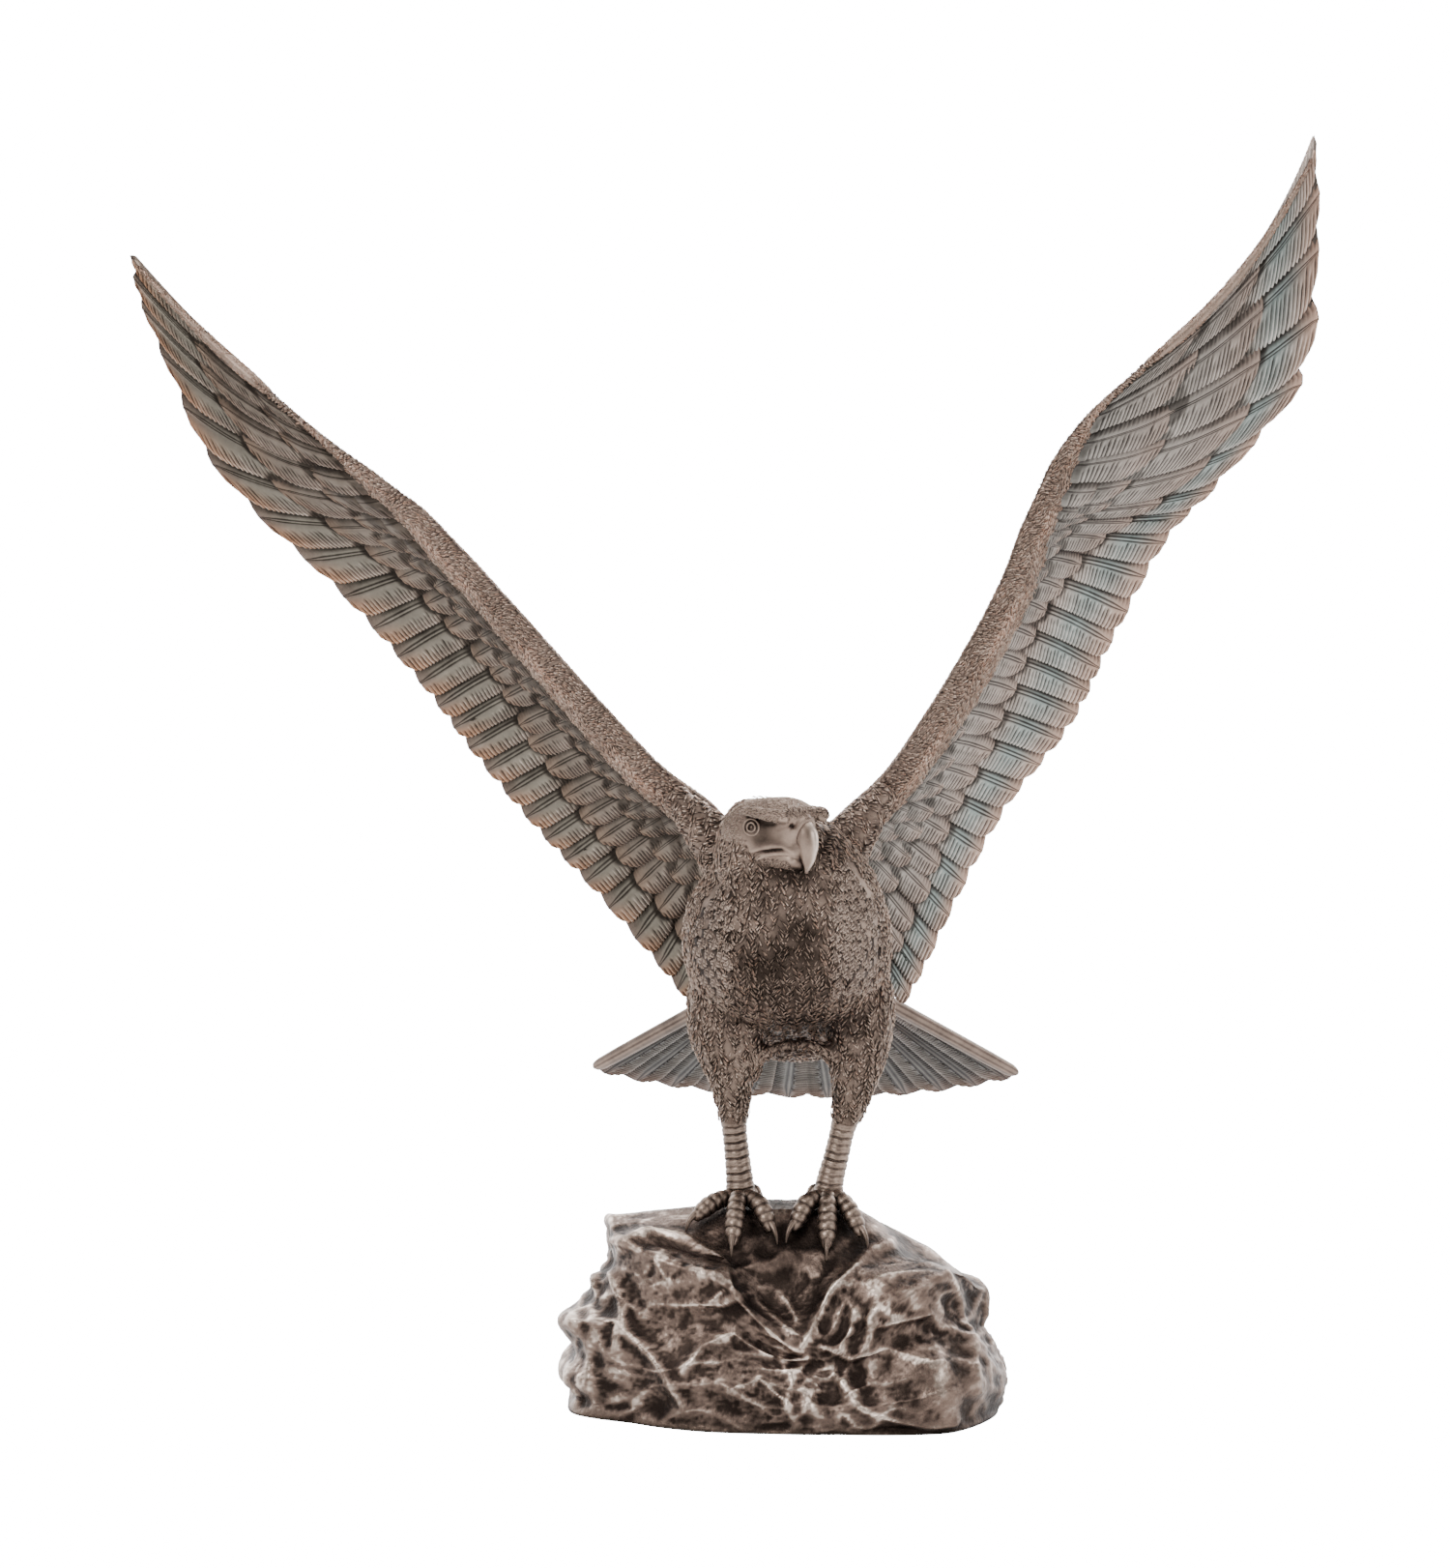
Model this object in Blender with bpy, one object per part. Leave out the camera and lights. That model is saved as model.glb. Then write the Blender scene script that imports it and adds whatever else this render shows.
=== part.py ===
"""A cast silver eagle that alights on a rock, with its wings raised in a V and its tail spread.

Metres, +Z up. The origin is the centre of the rock's flat underside, and the bird faces -Y.
The bird is a free form: its places are given in shares of its own height (see `unit`), above the
perch on the rock. The rock has its own width, depth and height.
"""

import math

import bmesh
import bpy
import numpy as np
from mathutils import Vector

# Driving sizes in metres
EAGLE_HEIGHT = 0.332  # from the perch to the highest wing tip
ROCK_HEIGHT = 0.062  # from the table to the perch
ROCK_WIDTH = 0.134  # along X, at the foot
ROCK_DEPTH = 0.101  # along Y, at the foot
TOE_GAP = 0.0006  # air between a toe and the rock

# The bird's own measure: its places below are in units, and it stands this many units tall
FIGURE_UNITS = 332.0
unit = EAGLE_HEIGHT / FIGURE_UNITS

# Wing carving, in units
FEATHERS = 25  # flight feathers of one wing, counted from the body to the wing tip
BLADE = 1.5  # thickness of the wing at the feathers
FEATHER_STEP = 1.2  # how far one feather stands over the next
COVERT_STEP = 1.1  # how far a row of coverts stands over what it covers
CAMBER = 0.09  # hollow of the wing's underside, as a share of its breadth
NOTCH_FOOT = 0.6  # share of a notch that lies inside the ribs' tips
WING_FACING = (0.0, -0.95, -0.3)  # the way the front of both wings looks
# Along a wing, by feather number
ARM_RADIUS = [(0, 6, 17, 21, 25), (5.5, 5.0, 4.0, 2.6, 1.1)]  # half thickness of the arm
ARM_BREADTH = [(0, 6, 17, 21, 25), (13.0, 12.5, 11.0, 8.0, 3.5)]
EDGE_INSET = [(0, 17, 25), (1.4, 1.1, 0.3)]  # from the leading edge in to the arm's front
QUILL_BOW = [(15, 20, 23), (0.0, 6.0, 5.0)]  # how far the feathers bow in; the ribs give the last one
COVERT_DRIFT = [(0, 14, 21, 25), (0.0, 0.0, -0.10, -0.14)]  # the hand's coverts are shorter

# Tail carving, in units
TAIL_FEATHERS = 12
TAIL_LENGTH = 92.0
TAIL_HALF_SPREAD = math.radians(50)
TAIL_DROP = math.radians(28)  # slope of the tail, downwards to its tips
TAIL_ROLL = math.radians(2)  # its left half hangs lower
TAIL_ASIDE = 0.04  # how far its middle leans towards +X, to its length
TAIL_ROOT = (6.5, 44.0, 60.5)
TAIL_ARCH = 3.5  # how far the outer tips hang below the fan's own slope
TAIL_ROOT_HALF = 23.0  # half breadth of the tail where it leaves the rump

# Each rib of a wing: the feather's number, its root at the leading edge and its tip. The last one
# also says how far the outermost feather bows in.
RIGHT_WING = [
    (0, (-7, 12, 103), (-29, 38, 59)),
    (2, (-12, 8, 112), (-41, 38, 74)),
    (4, (-19, 4, 122), (-57, 36, 93)),
    (7, (-36, 1, 135), (-76, 33, 114)),
    (10, (-54, -2, 154), (-94, 30, 136)),
    (14, (-78, -6, 181), (-115, 26, 164)),
    (17, (-98, -8, 203), (-140, 24, 192)),
    (19, (-110, -7, 215), (-166, 24, 217)),
    (20, (-117, -6, 220), (-179, 24, 233)),
    (21, (-124, -4, 225), (-186.5, 24, 250)),
    (23, (-140, 1, 236), (-199, 25, 279)),
    (25, (-160, 6, 252), (-202, 26, 294), 1.0),
]
LEFT_WING = [
    (0, (6, 12, 106), (38, 38, 57)),
    (2, (10, 8, 114), (45.5, 38, 71)),
    (4, (17.5, 4, 121.5), (54.5, 36, 91)),
    (7, (31, 1, 133.5), (70, 33, 121)),
    (10, (47, -2, 158), (89, 30, 146)),
    (14, (65, -6, 191), (104, 26, 177)),
    (17, (72, -8, 209.5), (121, 24, 208)),
    (19, (75.5, -7, 217), (136, 24, 224)),
    (21, (81.5, -4, 229), (160.5, 24, 257)),
    (23, (93, 1, 243), (166, 25, 299)),
    (25, (114, 6, 261), (165, 26, 331), 6.5),
]

# The notches between the feathers' tips: feather numbers, and depths in units
RIGHT_NOTCHES = [(0, 17, 19.5, 21, 23, 24.5), (2.0, 2.0, 4.0, 3.5, 2.5, 3.0)]
LEFT_NOTCHES = [(0, 17, 19, 20.5, 21.5, 22.5, 24.5), (2.0, 2.0, 3.5, 9.0, 6.5, 2.5, 1.5)]

# The torso from the tail's root to the neck: centre, half width and half depth of each ring
TORSO = [
    ((8, 66, 46), 9, 3),
    ((7, 58, 49), 16, 7),
    ((6, 48, 53), 21, 12),
    ((5, 35, 58), 25.5, 18.5),
    ((4, 20, 62), 29, 24),
    ((2, 6, 71), 31, 29.5),
    ((1, -8, 85), 31.5, 29.5),
    ((0, -15, 98), 28, 25),
    ((-2, -19, 107.5), 22, 19.5),
    ((-4.5, -21.5, 114), 17, 15),
    ((-6, -23.5, 120), 13, 12),
    ((-6, -25, 125), 8, 8),
]

# A leg from the hip to the foot: centre, half width and half depth of each ring
RIGHT_LEG = [
    ((-14, 8, 76), 10, 11),
    ((-16.5, 4, 64), 12.5, 14),
    ((-16.5, 0, 50), 11.2, 12.5),
    ((-16, -3, 40), 6.9, 8.8),
    ((-15.2, -3, 31), 5.0, 6.0),
    ((-15, -2, 25), 4.0, 4.5),
    ((-14, -3, 15), 3.9, 4.1),
    ((-13.2, -4, 7), 4.3, 4.5),
    ((-13, -4.5, 3.4), 4.6, 4.6),
]
LEFT_LEG = [
    ((19, 8, 76), 9, 11),
    ((22.5, 4, 64), 11.5, 14),
    ((23.2, 0, 50), 9.6, 12.5),
    ((22.2, -3, 40), 7.0, 8.8),
    ((20.4, -3, 31), 5.2, 6.0),
    ((18.8, -2, 25), 4.0, 4.5),
    ((16.4, -3, 15), 3.9, 4.1),
    ((14.4, -4, 7), 4.3, 4.5),
    ((14, -4.5, 3.4), 4.6, 4.6),
]

# Toes: the way each one points, in degrees from straight ahead towards +X, and its length
RIGHT_TOES = [(-58, 15), (-8, 16.5), (34, 15), (150, 9)]
LEFT_TOES = [(-42, 15), (-3, 16.5), (36, 15), (210, 9)]
TOE_RADIUS = 2.8
CLAW_LENGTH = 6.0

HEAD = (-5.0, -29.0, 118.0)
HEAD_TURN = math.radians(52)  # towards the bird's left
HEAD_NOD = math.radians(6)
# The skull and beak: distance ahead of HEAD, height above it, half width and half height
SKULL = [
    (-13.5, -4.5, 3.5, 3.5),
    (-11.5, -3.6, 8.0, 7.0),
    (-7.5, -2.2, 10.8, 9.4),
    (-2.5, -0.6, 11.0, 9.6),
    (3.0, 0.6, 10.6, 9.8),
    (8.0, 1.0, 9.8, 9.6),
    (11.5, 0.6, 8.0, 8.0),
    (14.0, -0.6, 5.4, 6.2),
]
BEAK = [
    (10.5, -1.5, 4.4, 5.6),
    (13.4, -1.7, 4.6, 5.3),
    (15.2, -3.6, 4.0, 4.4),
    (16.1, -6.0, 3.1, 3.3),
    (16.1, -8.3, 2.0, 2.1),
    (15.7, -10.6, 0.6, 0.6),
]
JAW = [
    (2.0, -6.5, 6.4, 3.4),
    (8.0, -8.4, 4.4, 2.4),
    (13.2, -9.2, 2.2, 1.3),
]
BROW = (6.2, 5.2, 11.0, 11.8, 3.4)  # ahead, above, half length, half width, half height
EYE = (3.0, 1.6, 9.7, 2.4)  # ahead, above, out to the side, radius

# The rock, by azimuth in degrees from +X: the foot's reach, then the crest's reach and height,
# the hollow's reach and height, and the reach of the level perch. Reaches are in shares of
# the rock's half width and half depth, heights in shares of its height.
ROCK_RIBS = [
    (-180, 0.99, 0.79, 0.95, 0.67, 0.960, 0.30),
    (-160, 1.02, 0.81, 0.88, 0.65, 0.905, 0.30),
    (-140, 0.90, 0.78, 0.81, 0.61, 0.806, 0.28),
    (-115, 0.90, 0.76, 0.75, 0.52, 0.750, 0.21),
    (-95, 0.88, 0.74, 0.53, 0.51, 0.726, 0.16),
    (-75, 0.93, 0.80, 0.40, 0.53, 0.710, 0.16),
    (-50, 1.14, 0.93, 0.68, 0.59, 0.726, 0.25),
    (-30, 1.06, 0.88, 0.74, 0.64, 0.785, 0.32),
    (-5, 0.99, 0.93, 0.57, 0.66, 0.770, 0.32),
    (20, 1.03, 0.93, 0.57, 0.65, 0.750, 0.30),
    (50, 1.05, 0.87, 0.66, 0.66, 0.800, 0.28),
    (90, 1.00, 0.85, 0.78, 0.64, 0.850, 0.22),
    (130, 1.08, 0.92, 0.76, 0.72, 0.870, 0.22),
    (160, 1.03, 0.86, 0.88, 0.72, 0.920, 0.26),
]
ROCK_SIDES = 44
ROCK_FACET = 0.0016  # how far the rock's corners stray from its plain form
# Rings up the rock's side: share of the crest's height, and share of the way in to the crest
ROCK_FLANK = [(0.0, 0.0), (0.10, -0.04), (0.30, -0.10), (0.48, 0.35), (0.68, 0.97), (1.0, 1.0)]


def clear_scene():
    for found in list(bpy.data.objects):
        bpy.data.objects.remove(found)


def metal(name, colour, roughness):
    """A metal surface: the colour of tarnished silver, its roughness and full metallic value."""
    made = bpy.data.materials.new(name)
    made.use_nodes = True
    shader = made.node_tree.nodes["Principled BSDF"]
    shader.inputs["Base Color"].default_value = (*colour, 1.0)
    shader.inputs["Roughness"].default_value = roughness
    shader.inputs["Metallic"].default_value = 1.0
    return made


def new_object(name, build, material=None):
    """An object whose mesh `build` makes in a bmesh, with its faces pointing out."""
    mesh = bpy.data.meshes.new(name)
    body = bmesh.new()
    build(body)
    bmesh.ops.recalc_face_normals(body, faces=body.faces)
    body.to_mesh(mesh)
    body.free()
    made = bpy.data.objects.new(name, mesh)
    bpy.context.scene.collection.objects.link(made)
    if material:
        mesh.materials.append(material)
    return made


def perched(point):
    """A place on the bird, from units above the perch to metres."""
    x, y, z = point
    return Vector((x * unit, y * unit, z * unit + ROCK_HEIGHT))


# Lofted limbs


def add_loft(body, centres, half_wide, half_deep, wide_axis, sides):
    """Rings of `sides` corners along the centres, joined and closed at both ends."""
    centres = [Vector(c) for c in centres]
    rings = []
    for n, centre in enumerate(centres):
        before = centres[max(n - 1, 0)]
        after = centres[min(n + 1, len(centres) - 1)]
        along = (after - before).normalized()
        wide = (wide_axis - along * wide_axis.dot(along)).normalized()
        deep = along.cross(wide)
        ring = []
        for k in range(sides):
            turn = 2 * math.pi * (k + 0.5) / sides
            place = centre + wide * (half_wide[n] * math.cos(turn)) + deep * (half_deep[n] * math.sin(turn))
            ring.append(body.verts.new(place))
        rings.append(ring)
    for low, high in zip(rings, rings[1:]):
        for k in range(sides):
            after = (k + 1) % sides
            body.faces.new((low[k], low[after], high[after], high[k]))
    body.faces.new(list(reversed(rings[0])))
    body.faces.new(rings[-1])


def limb(name, rings, wide_axis, sides):
    """A limb of the bird from its list of (centre, half width, half depth)."""

    def build(body):
        add_loft(
            body,
            [perched(centre) for centre, _, _ in rings],
            [wide * unit for _, wide, _ in rings],
            [deep * unit for _, _, deep in rings],
            Vector(wide_axis),
            sides,
        )

    return new_object(name, build)


# Head


def head_axes():
    ahead = Vector(
        (
            math.sin(HEAD_TURN) * math.cos(HEAD_NOD),
            -math.cos(HEAD_TURN) * math.cos(HEAD_NOD),
            -math.sin(HEAD_NOD),
        )
    )
    side = Vector((math.cos(HEAD_TURN), math.sin(HEAD_TURN), 0.0))
    above = ahead.cross(side)
    return ahead, side, above


def head_place(forward, up, out=0.0):
    ahead, side, above = head_axes()
    return perched(Vector(HEAD) + ahead * forward + above * up + side * out)


def head_loft(name, rings, sides):
    """A loft along the head's own axis, from rings of (forward, up, half width, half height)."""

    def build(body):
        add_loft(
            body,
            [head_place(forward, up) for forward, up, _, _ in rings],
            [wide * unit for _, _, wide, _ in rings],
            [high * unit for _, _, _, high in rings],
            head_axes()[1],
            sides,
        )

    return new_object(name, build)


def head_ball(name, forward, up, out, half_sizes, turns, levels):
    """A ball on the head, stretched along the head's own axes."""
    ahead, side, above = head_axes()
    centre = head_place(forward, up, out)

    def build(body):
        bmesh.ops.create_uvsphere(body, u_segments=turns, v_segments=levels, radius=1.0)
        for corner in body.verts:
            x, y, z = corner.co
            stretched = ahead * (x * half_sizes[0]) + side * (y * half_sizes[1]) + above * (z * half_sizes[2])
            corner.co = centre + stretched * unit

    return new_object(name, build)


def head_pieces():
    forward, up, long, wide, high = BROW
    yield head_loft("skull", SKULL, 14)
    yield head_loft("beak", BEAK, 8)
    yield head_loft("jaw", JAW, 8)
    yield head_ball("brow", forward, up, 0.0, (long, wide, high), 14, 6)
    forward, up, out, radius = EYE
    for sign in (-1, 1):
        yield head_ball(f"eye_{sign}", forward, up, sign * out, (radius,) * 3, 8, 6)


# Wings


def curve_through(knots, points, at):
    """Points on a smooth curve through `points`, where the curve's number runs through `knots`."""
    knots = np.asarray(knots, float)
    points = np.asarray(points, float)
    slopes = np.gradient(points, knots, axis=0)
    at = np.clip(np.asarray(at, float), knots[0], knots[-1])
    n = np.clip(np.searchsorted(knots, at, side="right") - 1, 0, len(knots) - 2)
    span = knots[n + 1] - knots[n]
    t = ((at - knots[n]) / span)[..., None]
    span = span[..., None]
    return (
        (2 * t**3 - 3 * t**2 + 1) * points[n]
        + (t**3 - 2 * t**2 + t) * span * slopes[n]
        + (3 * t**2 - 2 * t**3) * points[n + 1]
        + (t**3 - t**2) * span * slopes[n + 1]
    )


def smooth_step(low, high, value):
    t = np.clip((value - low) / (high - low), 0.0, 1.0)
    return t * t * (3 - 2 * t)


def unit_rows(vectors):
    return vectors / np.linalg.norm(vectors, axis=-1, keepdims=True)


def wing_frame(ribs, feather):
    """Root and tip of a feather, with unit directions: along its quill, out of the wing's front
    side, and towards the next feather nearer the body."""
    knots = [rib[0] for rib in ribs]
    root = curve_through(knots, [rib[1] for rib in ribs], feather)
    tip = curve_through(knots, [rib[2] for rib in ribs], feather)
    quill = unit_rows(tip - root)
    root = root + quill * np.interp(feather, *EDGE_INSET)[..., None]
    forward = np.array(WING_FACING)
    facing = unit_rows(forward - quill * (quill @ forward)[..., None])
    inward = np.cross(facing, quill) * -np.sign(ribs[0][1][0])
    return root, tip, quill, facing, inward


def wing_sheet(ribs, feather, along):
    """The wing's middle surface: `feather` counts from the body out, `along` runs from root to tip."""
    root, tip, _, _, inward = wing_frame(ribs, feather)
    numbers, bows = QUILL_BOW
    bow = np.interp(feather, (*numbers, FEATHERS), (*bows, ribs[-1][3]))
    bow = bow * 4 * np.clip(along, 0, 1) * (1 - np.clip(along, 0, 1))
    return root + (tip - root) * along[..., None] + inward * bow[..., None]


def arm_swell(feather, along, reach):
    """Half thickness of the wing: a rounded arm at the leading edge that thins to the blade."""
    radius = np.interp(feather, *ARM_RADIUS)
    breadth = np.interp(feather, *ARM_BREADTH)
    share = np.clip(along * reach / breadth, 0, 1.7)
    front = np.sqrt(np.clip(1 - (np.clip(share, 0, 0.5) * 2 - 1) ** 2, 0, 1))
    back = 1 - smooth_step(0.5, 1.6, share)
    swell = np.where(share < 0.5, front, back)
    return BLADE / 2 + (radius - BLADE / 2) * swell, front


def wing_rows(front):
    """Rows from the leading edge to the tips: share of the way, and how many covert rows lie above."""
    if front:
        return [(0.04, 2), (0.12, 2), (0.26, 2), (0.44, 2), (0.46, 1), (0.64, 1), (0.66, 0), (0.84, 0), (1.0, 0)]
    return [(0.06, 1), (0.16, 1), (0.34, 1), (0.54, 1), (0.56, 0), (1.0, 0)]


def wing_surface(ribs, notches, front, share, layers, feather):
    """One row of corners of a wing, on the front or the back."""
    number = np.minimum(np.floor(feather + 1e-6), FEATHERS - 1)
    part = feather - number  # 0 at the feather's free edge, 1 where the next one covers it
    round_end = 1 - (2 * part - 1) ** 2
    drift = np.interp(feather, *COVERT_DRIFT)
    along = np.full_like(feather, share)
    if layers or share < 0.9:
        along = along + drift * (0.3 < share) + 0.025 * round_end * (share > 0.3)
    reach = np.linalg.norm(wing_sheet(ribs, feather, along * 0 + 1) - wing_sheet(ribs, feather, along * 0), axis=-1)
    if share == 1.0:
        notch = np.interp(feather, *notches) * (1 - smooth_step(FEATHERS - 1, FEATHERS, feather))
        along = along + (round_end - NOTCH_FOOT) * notch / reach
    middle = wing_sheet(ribs, feather, along)
    normal = wing_frame(ribs, feather)[3]
    half, front_round = arm_swell(feather, along, reach)
    hollow = CAMBER * reach * np.sin(math.pi * np.clip(along, 0, 1)) * (1 - 0.8 * smooth_step(16, 22, feather))
    relief = FEATHER_STEP * (1 - part) * smooth_step(0.2, 0.4, along) + COVERT_STEP * layers * front_round
    relief = relief * (1 - 0.6 * smooth_step(19, 25, feather))
    side = 1.0 if front else -1.0
    height = side * (half + relief * (1.0 if front else 0.6)) - hollow
    return middle + normal * height[..., None]


def wing(name, ribs, notches):
    """A closed wing: front rows, back rows, and strips along the tips and both ends.

    `notches` gives the depth of the gaps between the feathers' tips, by the feather's number.
    """
    feather = np.array([n + part for n in range(FEATHERS) for part in (0.05, 0.5, 0.95)])
    feather[-1] = FEATHERS

    def build(body):
        def row_of(places):
            return [body.verts.new(perched(place)) for place in places]

        zero = feather * 0
        reach = np.linalg.norm(wing_sheet(ribs, feather, zero + 1) - wing_sheet(ribs, feather, zero), axis=-1)
        edge = row_of(wing_sheet(ribs, feather, zero - 0.01 * 40 / reach))
        fronts = [edge] + [row_of(wing_surface(ribs, notches, True, s, n, feather)) for s, n in wing_rows(True)]
        backs = [edge] + [row_of(wing_surface(ribs, notches, False, s, n, feather)) for s, n in wing_rows(False)]
        for rows in (fronts, backs):
            for low, high in zip(rows, rows[1:]):
                for k in range(len(feather) - 1):
                    body.faces.new((low[k], low[k + 1], high[k + 1], high[k]))
        for k in range(len(feather) - 1):
            body.faces.new((fronts[-1][k], fronts[-1][k + 1], backs[-1][k + 1], backs[-1][k]))
        for k in (0, -1):
            around = [row[k] for row in fronts] + [row[k] for row in reversed(backs[1:])]
            body.faces.new(around)

    return new_object(name, build)


# Tail


def tail_axes():
    back = Vector((TAIL_ASIDE, math.cos(TAIL_DROP), -math.sin(TAIL_DROP))).normalized()
    side = Vector((math.cos(TAIL_ROLL), 0.0, -math.sin(TAIL_ROLL)))
    side = (side - back * side.dot(back)).normalized()
    return back, side, side.cross(back)


def tail_place(turn, share, length, lift):
    """A place on the fan: `turn` from its middle, `share` of the way from the root to the tips."""
    back, side, above = tail_axes()
    spread = turn / TAIL_HALF_SPREAD
    root = side * (TAIL_ROOT_HALF * spread)
    tip = back * (length * math.cos(turn)) + side * (length * math.sin(turn))
    hang = TAIL_ARCH * spread**2 * share
    return perched(Vector(TAIL_ROOT) + root.lerp(tip, share) + above * (lift - hang))


def tail():
    """The fan of the tail: feathers that step over each other, fewest rows where the rump hides them."""
    columns = [n + part for n in range(TAIL_FEATHERS) for part in (0.05, 0.5, 0.95)]

    def row(share, under, body):
        made = []
        for column in columns:
            number = min(int(column), TAIL_FEATHERS - 1)
            part = column - number
            turn = TAIL_HALF_SPREAD * (2 * column / TAIL_FEATHERS - 1)
            round_end = 1 - (2 * part - 1) ** 2
            out = share * (1 + 0.045 * round_end * (share == 1.0))
            middle_out = abs(part - (1 if turn > 0 else 0))  # the middle feathers lie lowest
            step = FEATHER_STEP * 1.1 * middle_out * min(1.0, share * 2)
            lift = -(BLADE / 2 + step) if under else BLADE / 2 + step * 0.7
            made.append(body.verts.new(tail_place(turn, out, TAIL_LENGTH, lift)))
        return made

    def build(body):
        under = [row(share, True, body) for share in (0.0, 0.4, 0.75, 1.0)]
        over = [row(share, False, body) for share in (0.0, 0.5, 1.0)]
        for rows in (under, over):
            for low, high in zip(rows, rows[1:]):
                for k in range(len(columns) - 1):
                    body.faces.new((low[k], low[k + 1], high[k + 1], high[k]))
        for end in (0, -1):
            for k in range(len(columns) - 1):
                body.faces.new((under[end][k], under[end][k + 1], over[end][k + 1], over[end][k]))
        for k in (0, -1):
            body.faces.new([r[k] for r in under] + [r[k] for r in reversed(over)])

    return new_object("tail", build)


# Rock


def rock_rib(azimuth):
    """The rock's reaches and heights at an azimuth in degrees, between the ribs that are given."""
    table = np.array(ROCK_RIBS + [(180, *ROCK_RIBS[0][1:])], float)
    azimuth = (azimuth + 180) % 360 - 180
    return [float(np.interp(azimuth, table[:, 0], table[:, k])) for k in range(1, table.shape[1])]


def rock_reach(azimuth, share):
    """A place in plan, from a share of the rock's half width and half depth."""
    turn = math.radians(azimuth)
    return share * ROCK_WIDTH / 2 * math.cos(turn), share * ROCK_DEPTH / 2 * math.sin(turn)


def rock_surface(x, y):
    """The rock's top under a place in plan, in metres."""
    share = math.hypot(x / (ROCK_WIDTH / 2), y / (ROCK_DEPTH / 2))
    azimuth = math.degrees(math.atan2(y / (ROCK_DEPTH / 2), x / (ROCK_WIDTH / 2)))
    _, crest, crest_high, hollow, hollow_high, perch = rock_rib(azimuth)
    high = np.interp(share, (0, perch, hollow, crest), (1, 1, hollow_high, crest_high))
    return float(high) * ROCK_HEIGHT


def rock(material):
    chance = np.random.default_rng(7)

    def build(body):
        rings = []
        azimuths = [-180 + 360 * k / ROCK_SIDES for k in range(ROCK_SIDES)]
        ribs = [rock_rib(azimuth) for azimuth in azimuths]

        def ring(place, stray):
            made = []
            for azimuth, rib in zip(azimuths, ribs):
                share, high = place(azimuth, rib)
                x, y = rock_reach(azimuth, share)
                loose = chance.uniform(-1, 1, 3) * ROCK_FACET * stray
                level = high * ROCK_HEIGHT
                made.append(body.verts.new((x + loose[0], y + loose[1], level + (loose[2] if level else 0.0))))
            rings.append(made)

        def nose(azimuth, up):
            """The knob that juts out low on the rock's right side, as the bird sees it."""
            away = abs((azimuth - 188 + 180) % 360 - 180)
            return 0.055 * math.exp(-((away / 16) ** 2) - ((up - 0.32) / 0.16) ** 2)

        for up, inward in ROCK_FLANK:
            ring(
                lambda azimuth, rib: (
                    rib[0] + (rib[1] - rib[0]) * inward + nose(azimuth, up * rib[2]),
                    up * rib[2],
                ),
                0.0 if up == 0 else 1.0,
            )
        ring(lambda azimuth, rib: ((rib[1] + rib[3]) / 2, (rib[2] + rib[4]) / 2), 0.7)
        ring(lambda azimuth, rib: (rib[3], rib[4]), 0.0)
        ring(lambda azimuth, rib: (rib[5], 1.0), 0.0)
        for low, high in zip(rings, rings[1:]):
            for k in range(ROCK_SIDES):
                after = (k + 1) % ROCK_SIDES
                body.faces.new((low[k], low[after], high[after], high[k]))
        body.faces.new(rings[-1])
        body.faces.new(list(reversed(rings[0])))

    return new_object("rock_plinth", build, material)


# Feet


def toe(name, foot, heading, length):
    """A toe that follows the rock, with a swelling at each joint, and ends in a curved claw."""
    turn = math.radians(heading)
    claw = CLAW_LENGTH / length
    shares = [-0.12, 0.12, 0.38, 0.68, 0.97, 1.06, 1.06 + 0.5 * claw, 1.06 + 0.8 * claw]
    radii = [0.9, 1.0, 0.95, 1.02, 0.85, 0.42, 0.34, 0.1]
    across = Vector((math.cos(turn), math.sin(turn), 0.0))

    def in_plan(share):
        out = length * share * unit
        return foot[0] * unit + math.sin(turn) * out, foot[1] * unit - math.cos(turn) * out

    def resting_height(share):
        """High enough to clear the rock halfway to the rings before and after."""
        near = [rock_surface(*in_plan(share + off)) for off in (-0.16, -0.08, 0.0, 0.08)]
        return max(near)

    centres = []
    for share, radius in zip(shares, radii):
        high = resting_height(share) + TOE_GAP + TOE_RADIUS * radius * unit
        centres.append(Vector((*in_plan(share), high)))

    def build(body):
        half = [TOE_RADIUS * radius * unit for radius in radii]
        add_loft(body, centres, half, half, across, 7)

    return new_object(name, build)


def feet():
    for side, leg, toes in (("right", RIGHT_LEG, RIGHT_TOES), ("left", LEFT_LEG, LEFT_TOES)):
        foot = leg[-1][0]
        for n, (heading, length) in enumerate(toes):
            yield toe(f"{side}_toe_{n + 1}", foot, heading, length)


# The eagle as one casting


def eagle(material):
    pieces = [
        limb("right_leg", RIGHT_LEG, (1, 0, 0), 12),
        limb("left_leg", LEFT_LEG, (1, 0, 0), 12),
        tail(),
        wing("right_wing", RIGHT_WING, RIGHT_NOTCHES),
        wing("left_wing", LEFT_WING, LEFT_NOTCHES),
        *head_pieces(),
        *feet(),
    ]
    body = limb("eagle", TORSO, (1, 0, 0), 20)
    body.data.materials.append(material)
    for piece in pieces:
        piece.hide_render = True
        piece.display_type = "WIRE"
        join = body.modifiers.new(f"join_{piece.name}", "BOOLEAN")
        join.operation = "UNION"
        join.solver = "EXACT"
        join.object = piece
    return body


def main():
    clear_scene()
    eagle(metal("worn silver", (0.44, 0.39, 0.35), 0.38))
    rock(metal("dark silver", (0.34, 0.29, 0.26), 0.45))


main()
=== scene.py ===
import math

import bmesh
import bpy
import numpy as np
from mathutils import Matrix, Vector, noise
from mathutils.bvhtree import BVHTree


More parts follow.
